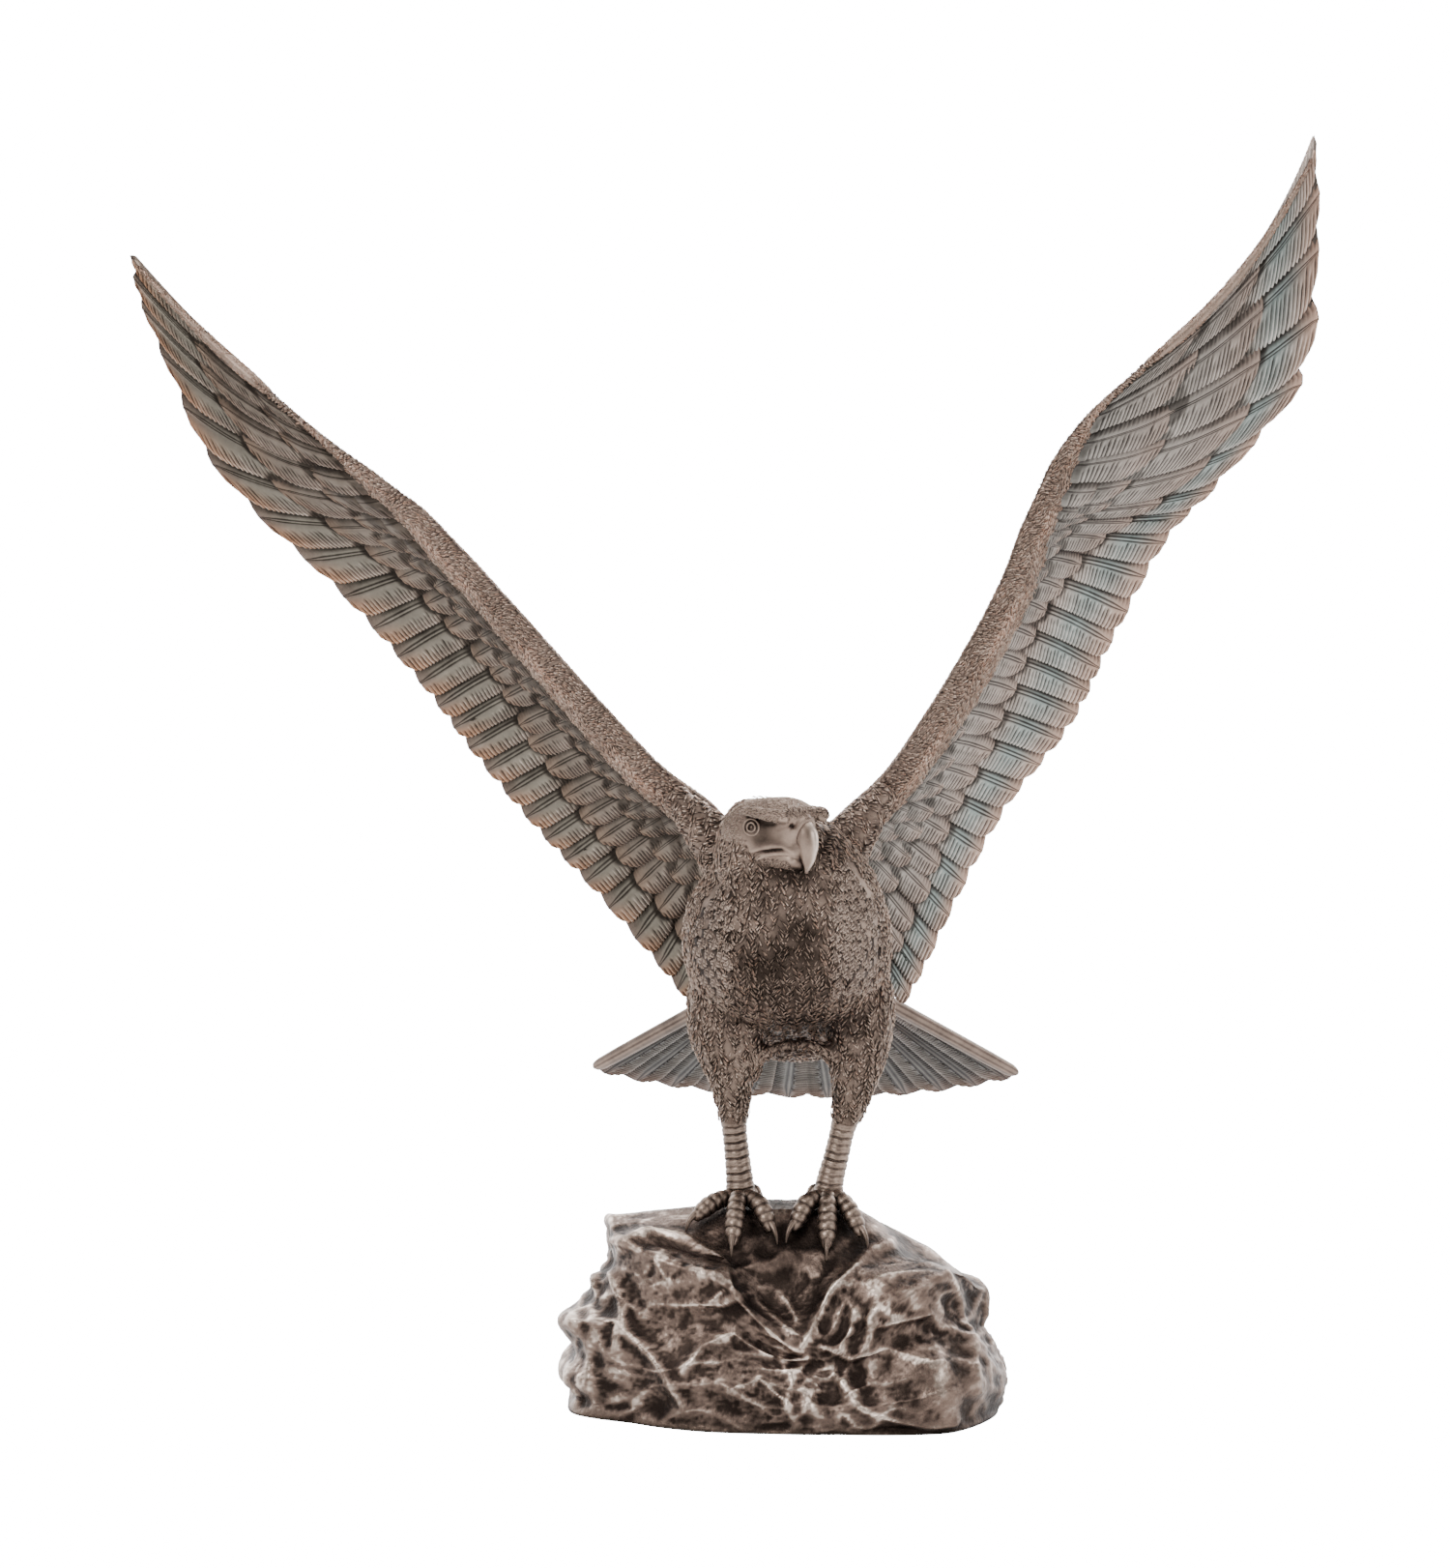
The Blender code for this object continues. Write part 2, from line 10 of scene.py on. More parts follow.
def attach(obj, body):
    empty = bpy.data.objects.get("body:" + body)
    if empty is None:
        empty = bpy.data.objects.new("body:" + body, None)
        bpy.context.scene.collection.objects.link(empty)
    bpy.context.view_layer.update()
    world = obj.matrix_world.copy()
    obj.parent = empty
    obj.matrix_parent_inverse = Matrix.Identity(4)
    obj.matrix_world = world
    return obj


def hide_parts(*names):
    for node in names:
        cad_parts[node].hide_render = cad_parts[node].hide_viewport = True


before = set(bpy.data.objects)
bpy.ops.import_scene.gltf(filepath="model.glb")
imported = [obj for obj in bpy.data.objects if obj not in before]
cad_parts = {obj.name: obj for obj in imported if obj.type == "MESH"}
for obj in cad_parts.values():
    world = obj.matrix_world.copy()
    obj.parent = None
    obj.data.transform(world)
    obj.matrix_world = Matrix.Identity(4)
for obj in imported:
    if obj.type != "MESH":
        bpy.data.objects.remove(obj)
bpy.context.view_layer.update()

print("eagle: the packed model is loaded")

# Everything on the bird is measured in its own millimetres above the perch, x to its left, y to its tail
stance = {"birdHeight": 0.332, "birdUnits": 332.0, "perchHeight": 0.062}
unit = stance["birdHeight"] / stance["birdUnits"]


def perched(points):
    points = np.array(points, float) * unit
    points[..., 2] += stance["perchHeight"]
    return points


# small tools for meshes


def smoothStep(low, high, value):
    t = np.clip((value - low) / (high - low), 0.0, 1.0)
    return t * t * (3 - 2 * t)


def bell(value):
    return np.exp(-(value**2))


def unitRows(vectors):
    return vectors / np.maximum(np.linalg.norm(vectors, axis=-1, keepdims=True), 1e-12)


def gridQuads(rows, columns, around=False):
    r = np.arange(rows - 1)[:, None]
    c = np.arange(columns if around else columns - 1)[None, :]
    d = (c + 1) % columns
    corners = [r * columns + c, r * columns + d, (r + 1) * columns + d, (r + 1) * columns + c]
    return np.stack(corners, -1).reshape(-1, 4)


def endCaps(rows, columns):
    # fans that close a tube of rings, round the two middle points that follow its last ring
    c = np.arange(columns)
    d = (c + 1) % columns
    last = (rows - 1) * columns
    first = np.stack([np.full(columns, rows * columns), c, d], 1)
    return np.concatenate([first, np.stack([np.full(columns, rows * columns + 1), last + d, last + c], 1)])


def shellPart(points, quads=(), tris=(), relief=0.5, warm=0.0, cool=0.0):
    # points are bird millimetres; relief is 0 in a recess and 1 on a worn ridge; warm and cool are tints
    count = len(points)
    spread = {"relief": relief, "warm": warm, "cool": cool}
    values = {k: np.broadcast_to(np.asarray(v, float), (count,)).copy() for k, v in spread.items()}
    return {
        "points": np.asarray(points, float).reshape(-1, 3),
        "quads": np.asarray(quads, int).reshape(-1, 4),
        "tris": np.asarray(tris, int).reshape(-1, 3),
        **values,
    }


def makePiece(name, parts, material, inMetres=False):
    starts = np.cumsum([0] + [len(p["points"]) for p in parts])
    points = np.concatenate([p["points"] for p in parts])
    quads = np.concatenate([p["quads"] + n for p, n in zip(parts, starts)])
    tris = np.concatenate([p["tris"] + n for p, n in zip(parts, starts)])
    mesh = bpy.data.meshes.new(name)
    mesh.vertices.add(len(points))
    mesh.vertices.foreach_set("co", (points if inMetres else perched(points)).ravel())
    mesh.loops.add(4 * len(quads) + 3 * len(tris))
    mesh.loops.foreach_set("vertex_index", np.concatenate([quads.ravel(), tris.ravel()]))
    mesh.polygons.add(len(quads) + len(tris))
    begins = np.concatenate([np.arange(len(quads)) * 4, 4 * len(quads) + np.arange(len(tris)) * 3])
    mesh.polygons.foreach_set("loop_start", begins)
    mesh.polygons.foreach_set("use_smooth", np.ones(len(begins), bool))
    mesh.update(calc_edges=True)
    for key in ("relief", "warm", "cool"):
        layer = mesh.attributes.new(key, "FLOAT", "POINT")
        layer.data.foreach_set("value", np.concatenate([p[key] for p in parts]).astype(np.float32))
    work = bmesh.new()
    work.from_mesh(mesh)
    bmesh.ops.recalc_face_normals(work, faces=work.faces)
    work.to_mesh(mesh)
    work.free()
    mesh.materials.append(material)
    piece = bpy.data.objects.new(name, mesh)
    bpy.context.scene.collection.objects.link(piece)
    print("eagle:", name, len(points), "points,", 2 * len(quads) + len(tris), "triangles")
    return piece


def curveThrough(knots, points, at):
    # smooth curve through the points, whose own number runs through the knots
    knots = np.asarray(knots, float)
    points = np.asarray(points, float)
    slopes = np.gradient(points, knots, axis=0)
    at = np.clip(np.asarray(at, float), knots[0], knots[-1])
    n = np.clip(np.searchsorted(knots, at, side="right") - 1, 0, len(knots) - 2)
    span = knots[n + 1] - knots[n]
    t = ((at - knots[n]) / span)[..., None]
    span = span[..., None]
    return (
        (2 * t**3 - 3 * t**2 + 1) * points[n]
        + (t**3 - 2 * t**2 + t) * span * slopes[n]
        + (3 * t**2 - 2 * t**3) * points[n + 1]
        + (t**3 - t**2) * span * slopes[n + 1]
    )


# finishes: one patina for the whole casting, with a value set for each region

finishes = {
    "feathers": {
        "dark": (0.013, 0.010, 0.008), "mid": (0.145, 0.110, 0.089), "bright": (0.72, 0.60, 0.51),
        "warm": (0.36, 0.170, 0.085), "cool": (0.120, 0.132, 0.108), "mottleScale": 150.0, "mottle": 0.45,
        "roughLow": 0.30, "roughHigh": 0.50, "grainScale": 2600.0, "recess": 0.0030,
    },
    "coolFeathers": {
        "dark": (0.016, 0.013, 0.011), "mid": (0.255, 0.208, 0.180), "bright": (0.82, 0.72, 0.66),
        "warm": (0.42, 0.26, 0.19), "cool": (0.19, 0.240, 0.232), "mottleScale": 130.0, "mottle": 0.35,
        "roughLow": 0.30, "roughHigh": 0.50, "grainScale": 2600.0, "recess": 0.0030,
    },
    "tailFeathers": {
        "dark": (0.010, 0.008, 0.007), "mid": (0.080, 0.060, 0.049), "bright": (0.50, 0.41, 0.36),
        "warm": (0.15, 0.085, 0.06), "cool": (0.050, 0.060, 0.056), "mottleScale": 120.0, "mottle": 0.4,
        "roughLow": 0.30, "roughHigh": 0.50, "grainScale": 2600.0, "recess": 0.0030,
    },
    "down": {
        "dark": (0.020, 0.014, 0.011), "mid": (0.300, 0.222, 0.178), "bright": (0.84, 0.69, 0.58),
        "warm": (0.46, 0.24, 0.155), "cool": (0.25, 0.27, 0.27), "mottleScale": 75.0, "mottle": 0.5,
        "roughLow": 0.30, "roughHigh": 0.52, "grainScale": 3000.0, "recess": 0.0013,
    },
    "horn": {
        "dark": (0.020, 0.014, 0.011), "mid": (0.24, 0.178, 0.142), "bright": (0.85, 0.72, 0.62),
        "warm": (0.45, 0.26, 0.17), "cool": (0.25, 0.27, 0.27), "mottleScale": 260.0, "mottle": 0.4,
        "roughLow": 0.22, "roughHigh": 0.45, "grainScale": 1800.0, "recess": 0.0022,
    },
    "stone": {
        "dark": (0.016, 0.011, 0.009), "mid": (0.160, 0.114, 0.091), "bright": (0.86, 0.71, 0.60),
        "warm": (0.34, 0.19, 0.13), "cool": (0.20, 0.22, 0.22), "mottleScale": 52.0, "mottle": 0.60,
        "roughLow": 0.24, "roughHigh": 0.48, "grainScale": 900.0, "recess": 0.005, "bump": 0.55,
        "bumpDepth": 0.0005,
    },
}


def wireGroup(group, made):
    # made is [(node type, {property: value}, {input: value or (node index, output)})]
    nodes = []
    for kind, settings, inputs in made:
        node = group.nodes.new(kind)
        for key, value in settings.items():
            setattr(node, key, value)
        for key, value in inputs.items():
            if isinstance(value, tuple) and len(value) == 2 and isinstance(value[0], int):
                group.links.new(nodes[value[0]].outputs[value[1]], node.inputs[key])
            else:
                node.inputs[key].default_value = value
        nodes.append(node)
    return nodes


def buildPatinaGroup():
    group = bpy.data.node_groups.new("silverPatina", "ShaderNodeTree")
    for name, kind in (
        ("Relief", "NodeSocketFloat"), ("Warm", "NodeSocketFloat"), ("Cool", "NodeSocketFloat"),
        ("Dark colour", "NodeSocketColor"), ("Mid colour", "NodeSocketColor"),
        ("Bright colour", "NodeSocketColor"), ("Warm colour", "NodeSocketColor"),
        ("Cool colour", "NodeSocketColor"), ("Mottle scale", "NodeSocketFloat"),
        ("Mottle", "NodeSocketFloat"), ("Rough low", "NodeSocketFloat"),
        ("Rough high", "NodeSocketFloat"), ("Grain scale", "NodeSocketFloat"),
        ("Recess", "NodeSocketFloat"),
    ):
        group.interface.new_socket(name, in_out="INPUT", socket_type=kind)
    for name, kind in (
        ("Color", "NodeSocketColor"), ("Roughness", "NodeSocketFloat"), ("Height", "NodeSocketFloat"),
    ):
        group.interface.new_socket(name, in_out="OUTPUT", socket_type=kind)
    clamp = {"use_clamp": True}
    wireGroup(group, [
        ("NodeGroupInput", {}, {}),  # 0
        ("ShaderNodeTexCoord", {}, {}),  # 1
        ("ShaderNodeTexNoise", {},
         {"Vector": (1, "Object"), "Scale": (0, "Mottle scale"), "Detail": 8.0, "Roughness": 0.65}),  # 2
        ("ShaderNodeTexNoise", {},
         {"Vector": (1, "Object"), "Scale": (0, "Grain scale"), "Detail": 2.0, "Roughness": 0.6}),  # 3
        ("ShaderNodeAmbientOcclusion", {"samples": 6}, {"Distance": (0, "Recess")}),  # 4
        ("ShaderNodeMapRange", {},
         {"Value": (4, "AO"), 1: 0.25, 2: 0.95, 3: 0.12, 4: 1.0}),  # 5 open to the air
        ("ShaderNodeMath", {"operation": "SUBTRACT"}, {0: (2, "Fac"), 1: 0.5}),  # 6
        ("ShaderNodeMath", {"operation": "MULTIPLY"}, {0: (6, 0), 1: (0, "Mottle")}),  # 7
        ("ShaderNodeMath", {"operation": "ADD"}, {0: (0, "Relief"), 1: (7, 0)}),  # 8
        ("ShaderNodeMath", {"operation": "MULTIPLY", **clamp}, {0: (8, 0), 1: (5, 0)}),  # 9 wear
        ("ShaderNodeMix", {"data_type": "RGBA"},
         {0: (0, "Warm"), 6: (0, "Mid colour"), 7: (0, "Warm colour")}),  # 10
        ("ShaderNodeMix", {"data_type": "RGBA"}, {0: (0, "Cool"), 6: (10, 2), 7: (0, "Cool colour")}),  # 11
        ("ShaderNodeMapRange", {"interpolation_type": "SMOOTHSTEP"},
         {"Value": (9, 0), 1: -0.05, 2: 0.58, 3: 0.0, 4: 1.0}),  # 12
        ("ShaderNodeMix", {"data_type": "RGBA"}, {0: (12, 0), 6: (0, "Dark colour"), 7: (11, 2)}),  # 13
        ("ShaderNodeMapRange", {"interpolation_type": "SMOOTHSTEP"},
         {"Value": (9, 0), 1: 0.50, 2: 1.15, 3: 0.0, 4: 1.0}),  # 14
        ("ShaderNodeMix", {"data_type": "RGBA"}, {0: (14, 0), 6: (13, 2), 7: (0, "Bright colour")}),  # 15
        ("ShaderNodeMapRange", {},
         {"Value": (9, 0), 1: 0.0, 2: 1.0, 3: (0, "Rough high"), 4: (0, "Rough low")}),  # 16
        ("ShaderNodeMath", {"operation": "MULTIPLY_ADD"}, {0: (3, "Fac"), 1: 0.12, 2: (16, 0)}),  # 17
        ("ShaderNodeMath", {"operation": "MULTIPLY_ADD"}, {0: (2, "Fac"), 1: 0.6, 2: (3, "Fac")}),  # 18
        ("NodeGroupOutput", {}, {"Color": (15, 2), "Roughness": (17, 0), "Height": (18, 0)}),  # 19
    ])
    return group


patinaGroup = buildPatinaGroup()


def patinaMaterial(name, values):
    material = bpy.data.materials.new(name)
    material.use_nodes = True
    tree = material.node_tree
    shader = tree.nodes["Principled BSDF"]
    patina = tree.nodes.new("ShaderNodeGroup")
    patina.node_tree = patinaGroup
    for key in ("relief", "warm", "cool"):
        reader = tree.nodes.new("ShaderNodeAttribute")
        reader.attribute_name = key
        tree.links.new(reader.outputs["Fac"], patina.inputs[key.capitalize()])
    for key in ("dark", "mid", "bright", "warm", "cool"):
        patina.inputs[key.capitalize() + " colour"].default_value = (*values[key], 1.0)
    for key, socket in (
        ("mottleScale", "Mottle scale"), ("mottle", "Mottle"), ("roughLow", "Rough low"),
        ("roughHigh", "Rough high"), ("grainScale", "Grain scale"), ("recess", "Recess"),
    ):
        patina.inputs[socket].default_value = values[key]
    lump = tree.nodes.new("ShaderNodeBump")
    lump.inputs["Strength"].default_value = values.get("bump", 0.25)
    lump.inputs["Distance"].default_value = values.get("bumpDepth", 0.0002)
    tree.links.new(patina.outputs["Color"], shader.inputs["Base Color"])
    tree.links.new(patina.outputs["Roughness"], shader.inputs["Roughness"])
    tree.links.new(patina.outputs["Height"], lump.inputs["Height"])
    tree.links.new(lump.outputs["Normal"], shader.inputs["Normal"])
    shader.inputs["Metallic"].default_value = 1.0
    return material


materials = {name: patinaMaterial(name, values) for name, values in finishes.items()}
print("eagle: finishes are ready")


# one chased feather: a closed plate with a shaft and barbs that run to its free edge

lowShares = np.array([1.0, 0.94, 0.83, 0.69, 0.54, 0.40, 0.28, 0.18])  # free edge in to the shaft
highShares = np.array([0.30, 0.65, 1.0])  # shaft out to the covered edge


def featherPlate(place, look, chance):
    length, width = look["length"], look["width"]
    start, end = look["start"], look["end"]
    low, high, shaftAt, tipAt = look["low"], look["high"], look["shaftAt"], look["tipAt"]
    seen = (look["seen"] - start) / (end - start)
    perBarb = 3
    plain = look.get("plain", False)
    lows, highs = (lowShares[::2], highShares[1:]) if plain else (lowShares, highShares)
    nearShaft = np.array([-1.3, 0.0, 1.3]) if plain else np.array([-1.7, -0.8, 0.0, 0.8, 1.7])
    stemShape = np.array([-0.8, 1.0, -0.8]) if plain else np.array([0.0, -0.8, 1.0, -0.8, 0.0])
    shown = max(int(round((1 - seen) * length / look["pitch"])), 3) * perBarb
    uSeen = seen + (1 - seen) * np.arange(shown + 1) / shown
    beat = np.concatenate([[2, 2], np.arange(shown + 1) % perBarb])
    barb = np.concatenate([[0, 0], np.arange(shown + 1) // perBarb])
    u = np.concatenate([[0.0, seen * 0.5], uSeen])
    wobble = chance.uniform(-0.12, 0.12, barb.max() + 2)[barb] * look["pitch"] / length
    u = np.clip(u + np.where(beat == 0, wobble, 0.0) * (u < 0.97), 0, 1)
    e = u + look["slant"] / length * (1 - u)

    def taper(at):
        t = np.clip((at - look["roundFrom"]) / (1 - look["roundFrom"]), 0, 1)
        return np.clip(1 - t ** look["blunt"], 0, 1) ** (1 / look["blunt"])

    shaft = tipAt + (shaftAt - tipAt) * (1 - smoothStep(0.6, 1.0, u) * 0.85)
    lowEdge = tipAt + (low - tipAt) * taper(e)
    highEdge = np.full_like(u, high) if not look["free"] else tipAt + (high - tipAt) * taper(u)
    ridge = look["shaftSize"] * abs(high - low) / width * np.sign(high - low)
    lowA = shaft[:, None] + (lowEdge - shaft)[:, None] * lows
    midA = shaft[:, None] + ridge * nearShaft * (1 - 0.7 * smoothStep(0.85, 1.0, u))[:, None]
    highA = shaft[:, None] + (highEdge - shaft)[:, None] * highs
    a = np.concatenate([lowA, midA, highA], 1)
    k = np.concatenate([lows, 0 * nearShaft, -highs])[None, :] + 0 * a
    along = np.where(k > 0, u[:, None] + (e - u)[:, None] * np.clip(k, 0, 1) ** 1.3, u[:, None])
    rel = (a - low) / (high - low)
    beyond = np.clip((a - tipAt) / (high - tipAt), 0, 1)
    b = start + (end - start) * along - look["notch"] * beyond**1.5 * along**2

    # barbs: a groove at every beat 0, fading in from the shaft to the free edge
    depth = chance.uniform(0.6, 1.0, barb.max() + 2)[barb]
    begin = look["barbFrom"] + chance.uniform(-0.16, 0.12, barb.max() + 2)[barb]
    reach = smoothStep(begin[:, None], begin[:, None] + 0.22, np.clip(k, 0, 1))
    reach = np.maximum(reach, look["upperBarbs"] * smoothStep(0.2, 0.4, -k))
    reach = reach * smoothStep(seen - 0.02, seen + 0.04, u)[:, None]
    groove = np.where(beat == 0, 1.0, np.where(beat == 1, 0.3, 0.0))[:, None] * depth[:, None] * reach
    crest = np.where(beat == 2, 1.0, 0.45)[:, None] * reach * (beat != 0)[:, None]
    streak = chance.uniform(-1, 1, a.shape[1])[None, :] * look["streak"]

    h = look["lift"] + look["step"] * (0.5 - rel)
    h = h + look["camber"] * np.sin(math.pi * np.clip(rel * 1.15, 0, 1))
    h = h - look["tipDrop"] * smoothStep(0.55, 1.0, along)
    h = h - look["lip"] * smoothStep(0.8, 1.0, k)
    h = h - look["rootSink"] * (1 - smoothStep(seen - 4.0 / length, seen + look["riseBy"] / length, along))
    h = h - look["barbDepth"] * groove + 0.35 * look["barbDepth"] * crest
    stem = np.zeros(a.shape[1])
    stem[len(lows):len(lows) + len(stemShape)] = stemShape
    h = h + stem * look["shaftSize"] * 0.55 * (1 - 0.6 * u)[:, None]

    # the vane is painted darker towards its covered side: painted shade under the next feather
    relief = look["base"] + look["vaneShade"] * (0.35 - rel) + streak
    relief = relief - 0.60 * groove + 0.16 * crest
    relief = relief + np.where(stem > 0, 0.12, np.where(stem < 0, -0.55, 0.0))
    relief = relief + 0.16 * smoothStep(0.86, 1.0, k)
    relief = relief + look.get("rim", 0.0) * smoothStep(0.5, 1.0, rel)
    # painted shadow: a dark band along the covered side, under the edge of the next feather
    lapShadow = smoothStep(look["lapFrom"], look["lapFrom"] + 0.1, rel) * (1 - 0.75 * smoothStep(0.82, 1.0, along))
    lapShadow = 1 - look["lapShade"] * lapShadow
    relief = relief * lapShadow
    # painted shadow of the covering feathers' rounded tips: darkest just past their edge
    tipGap = ((a - look.get("coverTip", 0.5)) / look.get("coverEvery", 1.0) + 0.5) % 1 - 0.5
    hang = look.get("coverRound", 0.0) * (1 - np.sqrt(np.clip(1 - (tipGap / 0.52) ** 2, 0, 1)))
    fromCover = (b - look.get("coverEnd", look["seen"])) * length / (end - start) + hang
    clearOfCoverShadow = smoothStep(look["coverShade"] * 0.25, look["coverShade"], fromCover)
    relief = relief * (look["coverShadowFloor"] + (1 - look["coverShadowFloor"]) * clearOfCoverShadow)
    warm, cool = look["tint"](along, k, (along - seen) / (1 - seen))

    rows, columns = a.shape
    top = place(a, b, h)
    edges = h[:, [0, -1]]
    deep = np.minimum(np.maximum(edges - look["thick"], -0.05), edges - 0.15)
    under = place(a[:, [0, -1]], b[:, [0, -1]], deep)
    points = np.concatenate([top.reshape(-1, 3), under.reshape(-1, 3)])
    base = rows * columns
    r = np.arange(rows - 1)
    lowTop, lowUnder = r * columns, base + 2 * r
    highTop, highUnder = r * columns + columns - 1, base + 2 * r + 1
    quads = np.concatenate([
        gridQuads(rows, columns),
        np.stack([lowTop, lowTop + columns, lowUnder + 2, lowUnder], 1),
        np.stack([highTop, highUnder, highUnder + 2, highTop + columns], 1),
        np.stack([lowUnder, lowUnder + 2, highUnder + 2, highUnder], 1),
    ])
    c = np.arange(columns - 1)
    lastTop = (rows - 1) * columns
    fans = [
        np.stack([np.full_like(c, base), c, c + 1], 1),
        [[base, columns - 1, base + 1]],
        np.stack([np.full_like(c, base + 2 * rows - 2), lastTop + c + 1, lastTop + c], 1),
        [[base + 2 * rows - 2, base + 2 * rows - 1, lastTop + columns - 1]],
    ]

    def both(values, edge):
        return np.concatenate([np.broadcast_to(values, a.shape).ravel(), np.full(2 * rows, edge)])

    relief = both(np.clip(relief, 0, 1), 0.3 + look.get("rim", 0.0))
    return shellPart(points, quads, np.concatenate(fans), relief, both(warm, 0.0), both(cool, 0.0))


# strokes of down: little closed ridges laid on a surface


def strokeParts(centres, ahead, normal, look, chance):
    count = len(centres)
    ahead = unitRows(ahead - normal * (ahead * normal).sum(-1, keepdims=True))
    across = np.cross(normal, ahead)
    size = chance.uniform(0.75, 1.25, (count, 1))
    long = look["long"] * size
    wide = look["wide"] * chance.uniform(0.8, 1.15, (count, 1))
    tall = look["tall"] * chance.uniform(0.7, 1.2, (count, 1))
    bend = chance.uniform(-0.5, 0.5, (count, 1)) * wide * look.get("bend", 1.0)
    sink = look.get("sink", 0.12)

    def at(forward, side, up):
        curve = bend * (4 * forward**2)
        return centres + ahead * (forward * long) + across * (side * wide + curve) + normal * up

    low = -sink + 0 * tall
    corners = [at(-0.5, 0.0, low), at(0.45, 0.5, low), at(0.45, -0.5, low), at(0.2, 0.0, tall)]
    points = np.stack(corners, 1).reshape(-1, 3)
    base = (np.arange(count) * 4)[:, None]
    tris = np.concatenate([base + np.array(t) for t in ([0, 1, 2], [0, 3, 1], [0, 2, 3], [1, 3, 2])])
    shade = np.array([0.32, 0.46, 0.46, 0.84])
    relief = (shade * chance.uniform(0.60, 1.10, (count, 1)) * look["shade"]).ravel()
    return shellPart(points, (), tris, np.clip(relief, 0, 1))


# wings

wingForm = {
    "feathers": 25, "camber": 0.09, "facing": (0.0, -0.95, -0.3), "blade": 1.5,
    "armRadius": [(0, 6, 17, 21, 25), (5.5, 5.0, 4.0, 2.6, 1.1)],
    "armBreadth": [(0, 6, 17, 21, 25), (16.0, 15.5, 14.0, 10.0, 4.5)],
    "edgeInset": [(0, 17, 25), (1.4, 1.1, 0.3)],
    "quillBow": [(15, 20, 23), (0.0, 6.0, 5.0)],
}
# feather number, root at the leading edge, tip; the last line ends with the outer feather's bow
rightWing = {
    "ribs": [
        (0, (-7, 12, 103), (-29, 38, 59)), (2, (-12, 8, 112), (-41, 38, 74)),
        (4, (-19, 4, 122), (-57, 36, 93)), (7, (-36, 1, 135), (-76, 33, 114)),
        (10, (-54, -2, 154), (-94, 30, 136)), (14, (-78, -6, 181), (-115, 26, 164)),
        (17, (-98, -8, 203), (-140, 24, 192)), (19, (-110, -7, 215), (-166, 24, 217)),
        (20, (-117, -6, 220), (-179, 24, 233)), (21, (-124, -4, 225), (-186.5, 24, 250)),
        (23, (-140, 1, 236), (-199, 25, 279)), (25, (-160, 6, 252), (-202, 26, 294), 1.0),
    ],
    "notches": [(0, 17, 19.5, 21, 23, 24.5), (2.0, 2.0, 4.0, 3.5, 2.5, 3.0)],
    "greater": [(0, 4, 7.5, 10, 12.5, 15, 18, 20, 22, 25),
                (0.80, 0.78, 0.73, 0.65, 0.57, 0.60, 0.62, 0.69, 0.70, 0.55)],
    "median": [(0, 4, 6, 8, 10, 12.5, 14.5, 18, 20, 22, 25),
               (0.60, 0.55, 0.50, 0.42, 0.40, 0.42, 0.42, 0.44, 0.38, 0.34, 0.22)],
    "pitch": 1.40, "barbFrom": 0.36, "barbDepth": 0.45, "slant": 3.0, "finish": "feathers", "seed": 11,
    "base": {"flight": 0.50, "greater": 0.44, "median": 0.42, "lesser": 0.40}, "upperBarbs": 0.15,
    "streak": 0.06, "vaneShade": 0.30, "lapShade": 0.88, "coverShadowFloor": 0.15,
}
leftWing = {
    "ribs": [
        (0, (6, 12, 106), (38, 38, 57)), (2, (10, 8, 114), (45.5, 38, 71)),
        (4, (17.5, 4, 121.5), (54.5, 36, 91)), (7, (31, 1, 133.5), (70, 33, 121)),
        (10, (47, -2, 158), (89, 30, 146)), (14, (65, -6, 191), (104, 26, 177)),
        (17, (72, -8, 209.5), (121, 24, 208)), (19, (75.5, -7, 217), (136, 24, 224)),
        (21, (81.5, -4, 229), (160.5, 24, 257)), (23, (93, 1, 243), (166, 25, 299)),
        (25, (114, 6, 261), (165, 26, 331), 6.5),
    ],
    "notches": [(0, 17, 19, 20.5, 21.5, 22.5, 24.5), (2.0, 2.0, 3.5, 9.0, 6.5, 2.5, 1.5)],
    "greater": [(0, 3.5, 5.5, 8, 10, 12.4, 14, 16, 18, 20, 22, 25),
                (0.82, 0.82, 0.76, 0.68, 0.57, 0.49, 0.49, 0.60, 0.72, 0.82, 0.77, 0.60)],
    "median": [(0, 3.5, 6.5, 8, 10, 12, 14, 16, 18, 20, 22, 25),
               (0.64, 0.62, 0.52, 0.40, 0.28, 0.24, 0.31, 0.36, 0.40, 0.44, 0.47, 0.35)],
    "pitch": 1.35, "barbFrom": 0.12, "barbDepth": 0.36, "slant": 4.0, "finish": "coolFeathers", "seed": 23,
    "base": {"flight": 0.54, "greater": 0.50, "median": 0.48, "lesser": 0.46}, "upperBarbs": 0.8,
    "streak": 0.05, "vaneShade": 0.20, "lapShade": 0.88, "coverShadowFloor": 0.30,
}


def wingFrame(wing, f):
    ribs = wing["ribs"]
    knots = [rib[0] for rib in ribs]
    root = curveThrough(knots, [rib[1] for rib in ribs], f)
    tip = curveThrough(knots, [rib[2] for rib in ribs], f)
    quill = unitRows(tip - root)
    root = root + quill * np.interp(f, *wingForm["edgeInset"])[..., None]
    forward = np.array(wingForm["facing"])
    facing = unitRows(forward - quill * (quill @ forward)[..., None])
    inward = np.cross(facing, quill) * -np.sign(ribs[0][1][0])
    return root, tip, facing, inward


